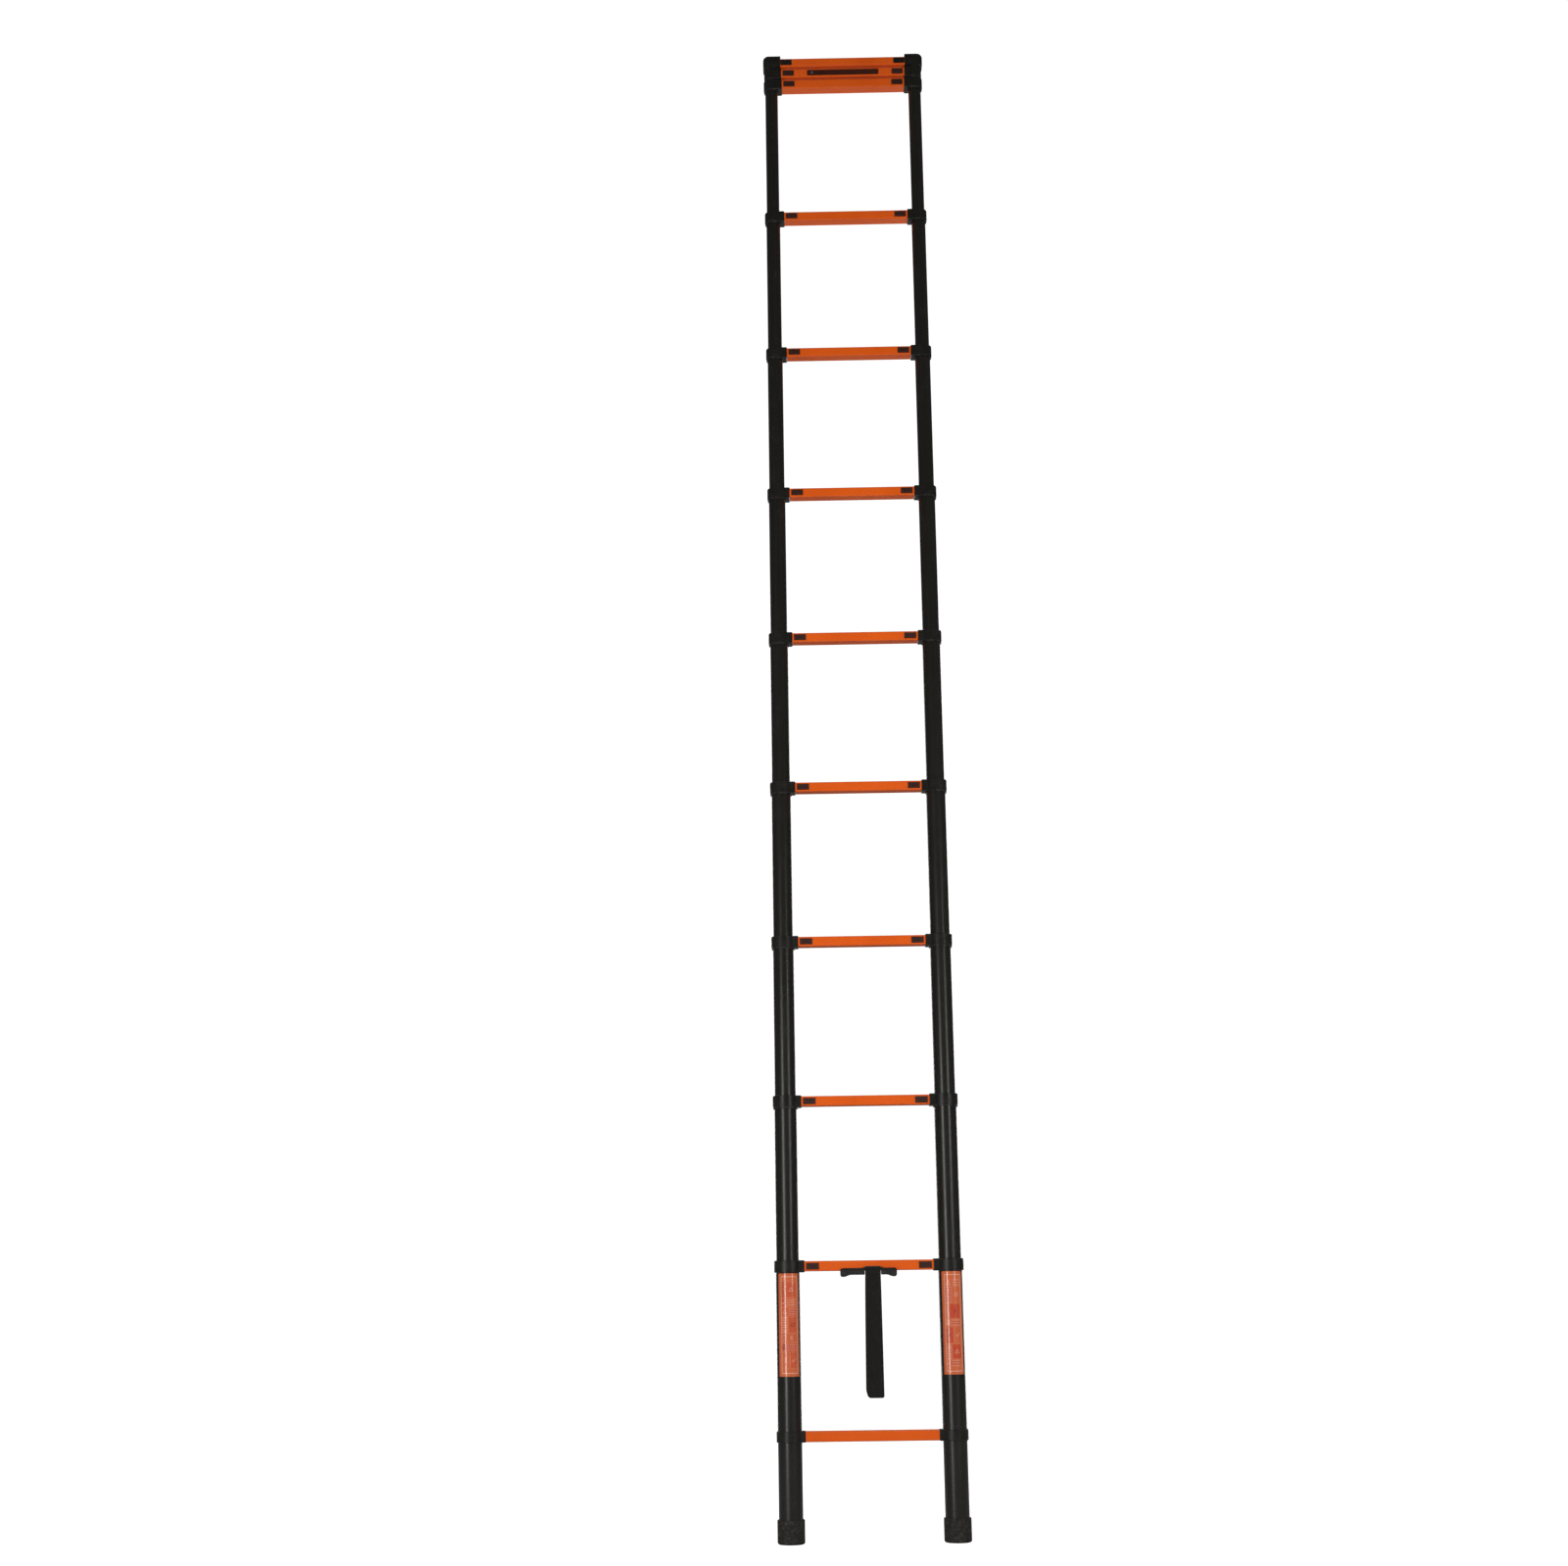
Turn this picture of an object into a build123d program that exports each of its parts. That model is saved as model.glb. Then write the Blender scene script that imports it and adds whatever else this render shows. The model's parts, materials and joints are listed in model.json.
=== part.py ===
"""A telescopic ladder: eleven nested pairs of tubes, twelve rungs, and two sprung latches at
each rung that a section slides out of.

Millimetres, +Z up. The origin is midway between the rails, on the surface that the rubber
feet stand on. The latches face -Y. Section 1 stands on the feet and carries rungs 1 and 2,
and every section above it carries the one rung at its own top.
"""

import os

from build123d import *

# --- Driving sizes ---
rail_spacing = 397.0
rung_count = 12
rung_pitch = 400.0
first_rung_height = 245.5
closed_sections = (10, 11)

first_tube_diameter = 58.4
tube_wall = 1.2
slide_clearance = 0.3

rung_deep = 36.0
rung_tall = 24.5
rung_wall = 1.6
rung_corner = 3.0
tread_groove_width = 1.6
tread_groove_depth = 0.5
tread_groove_spacing = 4.0
tread_groove_count = 7

collar_margin = 2.25
collar_wall = 4.1
collar_lip = 3.0
collar_edge = 1.2
socket_reach = 12.0
socket_margin = 2.0
socket_corner = 3.0
socket_wall = 4.0
neck_wall = 3.2
neck_height = 3.7
stack_clearance = 0.3

clamp_margin = 0.75
clamp_wall = 3.3
clamp_reach = 9.0

cap_wall = 8.0
cap_rise = 20.5
cap_top_corner = 15.0
cap_side_corner = 4.0

pin_radius = 4.0
pin_clearance = 0.3
pin_engagement = 4.0
pin_above_tube_end = 18.0
pin_tip_chamfer = 0.8
plug_stack_gap = 4.0
plug_hole_depth = 7.0

thumb_travel = 2.5
pad_length = 31.0
pad_height = 15.5
pad_thickness = 2.7
pad_edge = 1.0
pad_gap = 4.2
pad_clearance = 0.3
stem_length = 8.0
stem_height = 7.0
slider_length = 24.0
slider_height = 14.0
slider_clearance = 0.4
slider_back = 8.0

foot_wall = 4.0
foot_height = 56.0
foot_sole = 8.0
foot_edge = 5.0
foot_rim = 2.0
sole_groove_width = 3.0
sole_groove_depth = 2.0
sole_groove_spacing = 9.0
sole_groove_count = 5

webbing_width = 38.0
webbing_thickness = 2.0
strap_offset = 9.0
strap_drop = 304.0
strap_side_clearance = 0.8
waist_radius = 4.0
waist_below_rung_centre = 8.0
waist_forward = 7.2
loop_clearance = 0.4

grip_length = 138.0
grip_offset = -1.5
grip_top = 6.2
grip_bottom = 27.0
grip_deep = 13.2
grip_corner = 3.0
scallop_depth = 4.5
scallop_width = 40.0
scallop_places = (-30.0, 42.0)
grip_edge = 1.5

insert_length = 198.0
insert_height = 16.0
insert_thickness = 1.4
insert_corner = 3.0

label_height = 243.0
label_gap = 2.0
label_thickness = 0.25
label_start_angle = -142.0
label_sweep_angle = 114.0

# --- Worked-out sizes ---
section_count = rung_count - 1
rail_offset = rail_spacing / 2
tube_step = tube_wall + slide_clearance
collar_height = rung_tall + 2 * collar_margin
clamp_height = rung_tall + 2 * clamp_margin
socket_depth = rung_deep + 2 * socket_margin
stack_pitch = collar_height + neck_height + stack_clearance
plug_height = stack_pitch - plug_stack_gap
foot_radius = first_tube_diameter / 2 + foot_wall
tube_above_rung = collar_height / 2 - collar_lip
tube_length = rung_pitch + pin_above_tube_end + tube_above_rung
hole_radius = pin_radius + pin_clearance
front_face = rung_deep / 2
waist_y = -front_face - waist_forward
overshoot = 1.0


def tube_radius(section):
    """Outer radius of a section's tubes; each slides inside the one below."""
    return first_tube_diameter / 2 - (section - 1) * tube_step


def rung_level(rung):
    """Height of a rung's centre, with the closed sections resting on the ones below them."""
    closed = sum(1 for section in closed_sections if section < rung)
    return first_rung_height + rung_pitch * (rung - 1) - (rung_pitch - stack_pitch) * closed


def tube_top(section):
    return rung_level(section + 1) + tube_above_rung


def tube_bottom(section):
    if section == 1:
        return foot_sole
    return tube_top(section) - tube_length


def socket_end(section):
    """How far from the ladder's middle a section's collar sockets end."""
    return rail_offset - tube_radius(section) - socket_reach


def save(part, name):
    """Writes one finished sub-part under its own name."""
    part.label = name
    export_step(part, f"parts/{name}.step")


def make_tubes(section):
    """A pair of drawn aluminium tubes with holes for the lock pins."""
    radius = tube_radius(section)
    holes = []
    if section < section_count:
        holes.append(rung_level(section + 1))
    if section > 1:
        holes.append(tube_bottom(section) + pin_above_tube_end)
    with BuildPart() as tubes:
        with BuildSketch(Plane.XY.offset(tube_bottom(section))):
            with Locations((rail_offset, 0)):
                Circle(radius)
                Circle(radius - tube_wall, mode=Mode.SUBTRACT)
        extrude(amount=tube_top(section) - tube_bottom(section))
        for height in holes:
            with BuildSketch(Plane.YZ.offset(rail_offset)):
                with Locations((0, height)):
                    Circle(hole_radius)
            extrude(amount=-radius - overshoot, mode=Mode.SUBTRACT)
        mirror(about=Plane.YZ)
    save(tubes.part, f"tubes_{section:02d}")


def make_rung(rung):
    """A hollow extruded rung with a grooved tread, and slots for the latch stems."""
    section = max(rung - 1, 1)
    level = rung_level(rung)
    half_length = rail_offset - tube_radius(section) - socket_wall
    has_latches = 1 < rung < rung_count
    with BuildPart() as body:
        with BuildSketch(Plane.YZ.offset(-half_length)):
            with Locations((0, level)):
                RectangleRounded(rung_deep, rung_tall, rung_corner)
                RectangleRounded(
                    rung_deep - 2 * rung_wall,
                    rung_tall - 2 * rung_wall,
                    rung_corner - rung_wall,
                    mode=Mode.SUBTRACT,
                )
            with Locations((0, level + rung_tall / 2)):
                with GridLocations(tread_groove_spacing, 1, tread_groove_count, 1):
                    Rectangle(tread_groove_width, 2 * tread_groove_depth, mode=Mode.SUBTRACT)
        extrude(amount=2 * half_length)
        if has_latches:
            stem_place = socket_end(section) - pad_gap - pad_length / 2
            slot_shift = (pin_engagement - thumb_travel) / 2
            slot_length = stem_length + pin_engagement + thumb_travel + 2 * pin_clearance
            slot_place = stem_place + slot_shift
            with BuildSketch(Plane.XZ.offset(front_face + overshoot)):
                with Locations((-slot_place, level), (slot_place, level)):
                    Rectangle(slot_length, stem_height + 2 * pin_clearance)
            extrude(amount=-rung_wall - 2 * overshoot, mode=Mode.SUBTRACT)
    save(body.part, f"rung_{rung:02d}")


def make_collars(rung):
    """Moulded collars that tie a rung to its tubes and guide the next section, and the
    plugs in the lower ends of the same tubes, which the lock pins below enter.
    """
    section = rung - 1
    level = rung_level(rung)
    radius = tube_radius(section)
    reach = radius + socket_reach
    low = level - collar_height / 2
    if section > 1:
        plug = guide_plug(section)
    with BuildPart() as collars:
        with BuildSketch(Plane.XY.offset(low)):
            with Locations((rail_offset, 0)):
                Circle(radius + collar_wall)
            with Locations((rail_offset - reach / 2, 0)):
                Rectangle(reach, socket_depth)
        extrude(amount=collar_height)
        fillet(collars.edges().filter_by(Axis.Z).group_by(Axis.X)[0], socket_corner)
        chamfer(collars.faces().sort_by(Axis.Z)[-1].edges(), collar_edge)
        chamfer(collars.faces().sort_by(Axis.Z)[0].edges(), collar_edge)
        if section > 1:
            with BuildSketch(Plane.XY.offset(low - neck_height)):
                with Locations((rail_offset, 0)):
                    Circle(radius + neck_wall)
            extrude(amount=collar_height / 2)
        with BuildSketch(Plane.XY.offset(low - neck_height)):
            with Locations((rail_offset, 0)):
                Circle(radius)
        extrude(amount=tube_top(section) - low + neck_height, mode=Mode.SUBTRACT)
        with BuildSketch(Plane.XY.offset(level)):
            with Locations((rail_offset, 0)):
                Circle(tube_radius(section + 1) + slide_clearance)
        extrude(amount=collar_height, mode=Mode.SUBTRACT)
        with BuildSketch(Plane.YZ.offset(rail_offset - radius - socket_wall)):
            with Locations((0, level)):
                RectangleRounded(rung_deep, rung_tall, rung_corner)
        extrude(amount=socket_wall - socket_reach - overshoot, mode=Mode.SUBTRACT)
        with BuildSketch(Plane.YZ.offset(rail_offset)):
            with Locations((0, level)):
                Circle(hole_radius)
        extrude(amount=-reach, mode=Mode.SUBTRACT)
        if section > 1:
            add(plug)
        mirror(about=Plane.YZ)
    save(collars.part, f"collars_{rung:02d}")


def guide_plug(section):
    """The plug in a tube's lower end, with the side hole for the lock pin."""
    bottom = tube_bottom(section)
    radius = tube_radius(section) - tube_wall
    with BuildPart() as plug:
        with BuildSketch(Plane.XY.offset(bottom)):
            with Locations((rail_offset, 0)):
                Circle(radius)
        extrude(amount=plug_height)
        with BuildSketch(Plane.YZ.offset(rail_offset - radius - overshoot)):
            with Locations((0, bottom + pin_above_tube_end)):
                Circle(hole_radius)
        extrude(amount=plug_hole_depth + overshoot, mode=Mode.SUBTRACT)
    return plug.part


def make_bottom_rung_clamps():
    """The sleeves that hold the lowest rung, which has no latches."""
    level = rung_level(1)
    radius = tube_radius(1)
    reach = radius + clamp_reach
    with BuildPart() as clamps:
        with BuildSketch(Plane.XY.offset(level - clamp_height / 2)):
            with Locations((rail_offset, 0)):
                Circle(radius + clamp_wall)
            with Locations((rail_offset - reach / 2, 0)):
                Rectangle(reach, socket_depth)
        extrude(amount=clamp_height)
        fillet(clamps.edges().filter_by(Axis.Z).group_by(Axis.X)[0], socket_corner)
        chamfer(clamps.faces().sort_by(Axis.Z)[-1].edges(), collar_edge)
        chamfer(clamps.faces().sort_by(Axis.Z)[0].edges(), collar_edge)
        with BuildSketch(Plane.XY.offset(level - clamp_height / 2)):
            with Locations((rail_offset, 0)):
                Circle(radius)
        extrude(amount=clamp_height, mode=Mode.SUBTRACT)
        with BuildSketch(Plane.YZ.offset(rail_offset - radius - socket_wall)):
            with Locations((0, level)):
                RectangleRounded(rung_deep, rung_tall, rung_corner)
        extrude(amount=socket_wall - clamp_reach - overshoot, mode=Mode.SUBTRACT)
        mirror(about=Plane.YZ)
    save(clamps.part, "bottom_rung_clamps")


def make_top_caps():
    """Closed caps on the thinnest tubes, their plugs, and the blanking plates that fill
    the latch places of the top rung.
    """
    section = section_count
    level = rung_level(rung_count)
    radius = tube_radius(section)
    inner = rail_offset - radius - socket_reach
    outer = rail_offset + radius + cap_wall
    low = level - collar_height / 2
    high = level + cap_rise
    plug = guide_plug(section)
    with BuildPart() as caps:
        with BuildSketch(Plane.XZ.offset(-socket_depth / 2)):
            with Locations(((inner + outer) / 2, (low + high) / 2)):
                outline = Rectangle(outer - inner, high - low)
            top_corner = outline.vertices().group_by(Axis.X)[-1].sort_by(Axis.Z)[-1]
            fillet(top_corner, cap_top_corner)
        extrude(amount=socket_depth)
        fillet(caps.edges().filter_by(Axis.Z), cap_side_corner)
        with BuildSketch(Plane.XY.offset(low - neck_height)):
            with Locations((rail_offset, 0)):
                Circle(radius + neck_wall)
        extrude(amount=collar_height / 2)
        with BuildSketch(Plane.XY.offset(low - neck_height)):
            with Locations((rail_offset, 0)):
                Circle(radius)
        extrude(amount=tube_top(section) - low + neck_height, mode=Mode.SUBTRACT)
        with BuildSketch(Plane.YZ.offset(rail_offset - radius - socket_wall)):
            with Locations((0, level)):
                RectangleRounded(rung_deep, rung_tall, rung_corner)
        extrude(amount=socket_wall - socket_reach - overshoot, mode=Mode.SUBTRACT)
        with Locations((inner - pad_length / 2, -front_face - pad_thickness / 2, level)):
            Box(pad_length, pad_thickness, pad_height)
        add(plug)
        mirror(about=Plane.YZ)
    save(caps.part, "top_caps")


def make_latch(rung, side, name):
    """A latch: the thumb pad outside the rung, the slider inside it and the lock pin, which
    stops just short of the inner tube. side is -1 for the left rail and 1 for the right.
    """
    section = rung - 1
    level = rung_level(rung)
    pad_outer = socket_end(section) - pad_gap
    pad_place = pad_outer - pad_length / 2
    slider_front = -front_face + rung_wall + slider_clearance
    pin_tip = rail_offset - tube_radius(section + 1) - slide_clearance
    pin_root = pad_place
    stem_deep = front_face + pad_clearance + slider_front
    with BuildPart() as latch:
        with Locations((side * pad_place, -front_face - pad_clearance - pad_thickness / 2, level)):
            Box(pad_length, pad_thickness, pad_height)
        front_edges = latch.faces().sort_by(Axis.Y)[0].edges()
        fillet(front_edges, pad_edge)
        with Locations((side * pad_place, slider_front - stem_deep / 2, level)):
            Box(stem_length, stem_deep, stem_height)
        with Locations((side * pad_place, (slider_front + slider_back) / 2, level)):
            Box(slider_length, slider_back - slider_front, slider_height)
        with Locations((side * (pin_tip + pin_root) / 2, 0, level)):
            Cylinder(pin_radius, pin_tip - pin_root, rotation=(0, 90, 0))
        tip_face = latch.faces().sort_by(Axis.X)[-1 if side > 0 else 0]
        chamfer(tip_face.edges(), pin_tip_chamfer)
    save(latch.part, name)


def make_rubber_feet():
    """Deep rubber cups on the lowest tubes, with a grooved sole."""
    with BuildPart() as feet:
        with BuildSketch():
            with Locations((rail_offset, 0)):
                Circle(foot_radius)
        extrude(amount=foot_height)
        fillet(feet.faces().sort_by(Axis.Z)[0].edges(), foot_edge)
        fillet(feet.faces().sort_by(Axis.Z)[-1].edges(), foot_rim)
        with BuildSketch(Plane.XY.offset(foot_sole)):
            with Locations((rail_offset, 0)):
                Circle(tube_radius(1))
        extrude(amount=foot_height, mode=Mode.SUBTRACT)
        with BuildSketch():
            with Locations((rail_offset, 0)):
                with GridLocations(1, sole_groove_spacing, 1, sole_groove_count):
                    Rectangle(2 * foot_radius, sole_groove_width)
        extrude(amount=sole_groove_depth, mode=Mode.SUBTRACT)
        mirror(about=Plane.YZ)
    save(feet.part, "rubber_feet")


def make_strap():
    """The carrying strap: webbing folded round the grip's waist and hanging doubled."""
    waist_z = rung_level(2) - waist_below_rung_centre
    loop_inner = waist_radius + loop_clearance
    with BuildPart() as strap:
        with BuildSketch(Plane.YZ.offset(strap_offset - webbing_width / 2)):
            with Locations((waist_y, waist_z)):
                Circle(loop_inner + webbing_thickness)
            with Locations((waist_y, waist_z - strap_drop / 2)):
                Rectangle(2 * webbing_thickness, strap_drop)
            with Locations((waist_y, waist_z)):
                Circle(loop_inner, mode=Mode.SUBTRACT)
        extrude(amount=webbing_width)
    save(strap.part, "strap")


def make_strap_grip():
    """The T-shaped grip on the second rung, with finger scallops and a round waist that
    the strap is folded over.
    """
    level = rung_level(2)
    low = level - grip_bottom
    tall = grip_bottom - grip_top
    notch_width = webbing_width + 2 * strap_side_clearance
    scallop_radius = (scallop_width**2 / 4 + scallop_depth**2) / (2 * scallop_depth)
    with BuildPart() as grip:
        with BuildSketch(Plane.XZ.offset(front_face)):
            with Locations((grip_offset, low + tall / 2)):
                RectangleRounded(grip_length, tall, grip_corner)
            with Locations([(x, low + scallop_depth - scallop_radius) for x in scallop_places]):
                Circle(scallop_radius, mode=Mode.SUBTRACT)
            with Locations((strap_offset, low + tall / 2)):
                Rectangle(notch_width, tall + 2 * overshoot, mode=Mode.SUBTRACT)
        extrude(amount=grip_deep)
        fillet(grip.faces().group_by(Axis.Y)[0].edges(), grip_edge)
        with BuildSketch(Plane.YZ.offset(strap_offset - notch_width / 2 - overshoot)):
            with Locations((waist_y, level - waist_below_rung_centre)):
                Circle(waist_radius)
        extrude(amount=notch_width + 2 * overshoot)
    save(grip.part, "strap_grip")


def make_handle_insert():
    """The dark grip strip on the front of the second rung from the top."""
    with BuildPart() as insert:
        with BuildSketch(Plane.XZ.offset(front_face)):
            with Locations((0, rung_level(rung_count - 1))):
                RectangleRounded(insert_length, insert_height, insert_corner)
        extrude(amount=insert_thickness)
    save(insert.part, "handle_insert")


def make_rail_labels():
    """Stickers bent round the front of the lowest tubes, under the second rung."""
    top = rung_level(2) - collar_height / 2 - label_gap
    inner = tube_radius(1)
    outer = inner + label_thickness
    with BuildPart() as labels:
        for rail in (-rail_offset, rail_offset):
            with BuildSketch(Plane.XY.offset(top - label_height)):
                with BuildLine():
                    outside = CenterArc((rail, 0), outer, label_start_angle, label_sweep_angle)
                    inside = CenterArc((rail, 0), inner, label_start_angle, label_sweep_angle)
                    Line(outside @ 0, inside @ 0)
                    Line(outside @ 1, inside @ 1)
                make_face()
            extrude(amount=label_height)
    save(labels.part, "rail_labels")


os.makedirs("parts", exist_ok=True)
for section in range(1, section_count + 1):
    make_tubes(section)
for rung in range(1, rung_count + 1):
    make_rung(rung)
for rung in range(2, rung_count):
    make_collars(rung)
    make_latch(rung, -1, f"latch_left_{rung:02d}")
    make_latch(rung, 1, f"latch_right_{rung:02d}")
make_bottom_rung_clamps()
make_top_caps()
make_rubber_feet()
make_strap()
make_strap_grip()
make_handle_insert()
make_rail_labels()
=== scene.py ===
# %% [markdown]
# # A telescopic ladder, step by step
#
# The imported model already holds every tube, rung, collar and latch at its true size. This
# lesson adds what a workshop drawing leaves out: the light and the camera, the finish of
# each material, the woven strap, the sculpted grip, the printed labels, and small hardware.

import json
import math

import bmesh
import bpy
import numpy as np
from mathutils import Matrix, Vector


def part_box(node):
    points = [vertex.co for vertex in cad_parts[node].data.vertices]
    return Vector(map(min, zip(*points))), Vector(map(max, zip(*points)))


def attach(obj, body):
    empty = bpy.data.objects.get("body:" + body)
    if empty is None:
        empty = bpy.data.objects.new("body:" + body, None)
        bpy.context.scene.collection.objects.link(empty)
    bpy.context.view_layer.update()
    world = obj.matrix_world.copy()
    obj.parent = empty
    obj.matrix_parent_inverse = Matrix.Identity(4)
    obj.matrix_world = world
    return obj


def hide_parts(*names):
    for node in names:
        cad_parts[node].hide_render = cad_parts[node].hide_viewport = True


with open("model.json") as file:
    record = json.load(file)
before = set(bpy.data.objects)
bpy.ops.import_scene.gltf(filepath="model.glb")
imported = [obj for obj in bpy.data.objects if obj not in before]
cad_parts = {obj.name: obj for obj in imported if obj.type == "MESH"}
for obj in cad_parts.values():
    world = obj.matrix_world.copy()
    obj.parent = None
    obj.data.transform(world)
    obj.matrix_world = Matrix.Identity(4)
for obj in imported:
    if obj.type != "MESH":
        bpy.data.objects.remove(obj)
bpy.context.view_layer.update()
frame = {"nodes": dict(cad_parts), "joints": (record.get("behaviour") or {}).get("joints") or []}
nodes = frame["nodes"]
scene = bpy.context.scene
MM = 0.001

# %% [markdown]
# ## Where things are
#
# Every place is read from the model, so nothing here is fitted by eye. A rung's box gives
# its height, and the joints give the strap's pivot.


# %% Places read from the model
def middle(node):
    """The centre of a node's box."""
    low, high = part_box(node)
    return (np.array(low) + np.array(high)) / 2


rung_level = {rung: middle(f"rung_{rung:02d}")[2] for rung in range(1, 13)}
drawn_spacing = rung_level[2] - rung_level[1]
closed_spacing = rung_level[12] - rung_level[11]
rung_half_tall = (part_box("rung_02")[1].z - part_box("rung_02")[0].z) / 2
rung_half_deep = -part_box("rung_02")[0].y
collar_half_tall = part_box("collars_02")[1].z - rung_level[2]
low_tube, high_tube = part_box("tubes_01")
tube_radius = (high_tube.y - low_tube.y) / 2
rail_offset = high_tube.x - tube_radius
strap_joint = next(j for j in frame["joints"] if j["name"] == "strap_swing")
strap_pivot = np.array(strap_joint["pos_m"])
print("rung 2 at", round(rung_level[2], 4), "rails at", round(rail_offset, 4))

# %% [markdown]
# ## The camera
#
# The ladder is almost four metres tall and is seen from low down, so the rails draw together
# towards the top. A 50 mm lens 5.5 m away, at knee height, tilted up by 13 degrees, gives
# that. The three turns are applied in the order roll, pitch, yaw, as a tripod head does it.

# %% Camera
LENS = 50.0
SENSOR = 36.0
CAMERA_PLACE = np.array([-0.134, -5.460, 0.592])
TILT_UP = math.radians(13.07)
YAW = math.radians(0.80)
ROLL = math.radians(0.97)


def turn(angle, axis):
    """A right-handed rotation about one of the three axes, as a 3 by 3 array."""
    return np.array(Matrix.Rotation(angle, 3, axis))


looking = turn(-YAW, "Z") @ turn(-TILT_UP, "X") @ turn(-ROLL, "Y")
right, forward, up = looking
camera_data = bpy.data.cameras.new("camera")
camera_data.lens = LENS
camera_data.sensor_width = SENSOR
camera_data.clip_end = 100
camera = bpy.data.objects.new("camera", camera_data)
scene.collection.objects.link(camera)
basis = np.column_stack([right, up, -forward])
camera.matrix_world = Matrix.Translation(CAMERA_PLACE) @ Matrix(basis.tolist()).to_4x4()
scene.camera = camera
print("camera looks along", forward.round(3))

# %% [markdown]
# ## Helpers for surfaces
#
# New pieces are grids of points worked out as arrays. One helper turns such a grid into a
# mesh: each cell is a quad, and either direction of the grid may close on itself.


# %% Surface helpers
def grid_faces(rows, columns, closed_columns=False):
    """Quads of a grid whose point number is row * columns + column; closed columns join the
    last point of each row to its first.
    """
    row = np.arange(rows - 1)
    column = np.arange(columns if closed_columns else columns - 1)
    r, c = np.meshgrid(row, column, indexing="ij")
    after = (c + 1) % columns
    near, far = r * columns, (r + 1) * columns
    return np.stack([near + c, near + after, far + after, far + c], axis=-1).reshape(-1, 4)


def circle(count):
    """Angles of count points evenly round a circle."""
    return np.linspace(0, 2 * np.pi, count, endpoint=False)


def closed_skins(rings):
    """Points and quads of one or more closed skins: an array (skins, rings, around, 3).
    Each end is closed by a last ring that has shrunk to the middle of its neighbour.
    """
    middles = rings[:, [0, -1]].mean(axis=2, keepdims=True)
    poles = np.repeat(middles, rings.shape[2], axis=2)
    rings = np.concatenate([poles[:, :1], rings, poles[:, 1:]], axis=1)
    skins, count, around, _ = rings.shape
    faces = grid_faces(count, around, closed_columns=True)
    start = np.arange(skins)[:, None, None] * count * around
    return rings.reshape(-1, 3), (faces[None] + start).reshape(-1, 4)


def join_parts(parts):
    """Several (points, faces) pairs as one, with the faces' numbers moved on."""
    starts = np.cumsum([0] + [len(points) for points, faces in parts])
    points = np.concatenate([points for points, faces in parts])
    return points, np.concatenate([faces + start for (_, faces), start in zip(parts, starts)])


def make_piece(name, points, faces, material, smooth=True):
    """A mesh object at the origin from points (n, 3) and faces (m, 4)."""
    mesh = bpy.data.meshes.new(name)
    mesh.from_pydata(points.tolist(), [], faces.tolist())
    mesh.polygons.foreach_set("use_smooth", np.full(len(mesh.polygons), smooth))
    mesh.materials.append(material)
    piece = bpy.data.objects.new(name, mesh)
    scene.collection.objects.link(piece)
    return piece


def skin_piece(name, rings, material):
    """A sealed piece made of one or more closed skins."""
    points, faces = closed_skins(rings)
    return seal(make_piece(name, points, faces, material))


def seal(piece):
    """Merges doubled points, which closes poles and seams, and turns the faces outwards."""
    made = bmesh.new()
    made.from_mesh(piece.data)
    bmesh.ops.remove_doubles(made, verts=made.verts, dist=1e-7)
    bmesh.ops.dissolve_degenerate(made, edges=made.edges, dist=1e-8)
    bmesh.ops.recalc_face_normals(made, faces=made.faces)
    made.to_mesh(piece.data)
    made.free()
    return piece


# %% [markdown]
# ## Helpers for materials
#
# A finish is a small network of shader nodes. Effects that several finishes share, such as
# the grain of a moulding or the streaks of a drawn tube, are node groups with named inputs.


# %% Shader helpers
def feed(tree, inputs, values):
    """Sets each named input to its value, or links it where the value is a socket."""
    for key, value in values.items():
        if isinstance(value, bpy.types.NodeSocket):
            tree.links.new(value, inputs[key])
        else:
            inputs[key].default_value = value


def add_node(tree, kind, values=None, **settings):
    """A shader node with its settings, and its inputs fed with values or sockets."""
    made = tree.nodes.new(kind)
    for key, value in settings.items():
        setattr(made, key, value)
    feed(tree, made.inputs, values or {})
    return made


def math_node(tree, operation, first, second=0.0, clamp=False):
    """The output of a Math node on two values or sockets."""
    made = add_node(tree, "ShaderNodeMath", {0: first, 1: second}, operation=operation)
    made.use_clamp = clamp
    return made.outputs[0]


def times(tree, first, second, clamp=False):
    """The product of two values or sockets."""
    return math_node(tree, "MULTIPLY", first, second, clamp)


def plus_share(tree, value, extra, share):
    """Value plus a share of another one: value + extra * share."""
    return math_node(tree, "ADD", value, times(tree, extra, share))


def mix_colour(tree, factor, first, second):
    """The colour output of a Mix node, whose colour sockets are its sixth and seventh."""
    made = tree.nodes.new("ShaderNodeMix")
    made.data_type = "RGBA"
    feed(tree, made.inputs, {0: factor, 6: first, 7: second})
    return made.outputs[2]


def remap(tree, value, low, high, new_low=0.0, new_high=1.0):
    """Value from low..high to new_low..new_high, clamped."""
    given_range = {"Value": value, "From Min": low, "From Max": high}
    inputs = {**given_range, "To Min": new_low, "To Max": new_high}
    return add_node(tree, "ShaderNodeMapRange", inputs).outputs[0]


def noise(tree, coordinates, scale, detail=2.0, roughness=0.5):
    """The value output of a Noise texture."""
    inputs = {"Vector": coordinates, "Scale": scale, "Detail": detail, "Roughness": roughness}
    return add_node(tree, "ShaderNodeTexNoise", inputs).outputs["Fac"]


def object_place(tree):
    """The point's place in the object's own axes, in metres."""
    return tree.nodes.new("ShaderNodeTexCoord").outputs["Object"]


def axes(tree, vector):
    """The X, Y and Z outputs of a vector."""
    return add_node(tree, "ShaderNodeSeparateXYZ", {0: vector}).outputs


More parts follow.
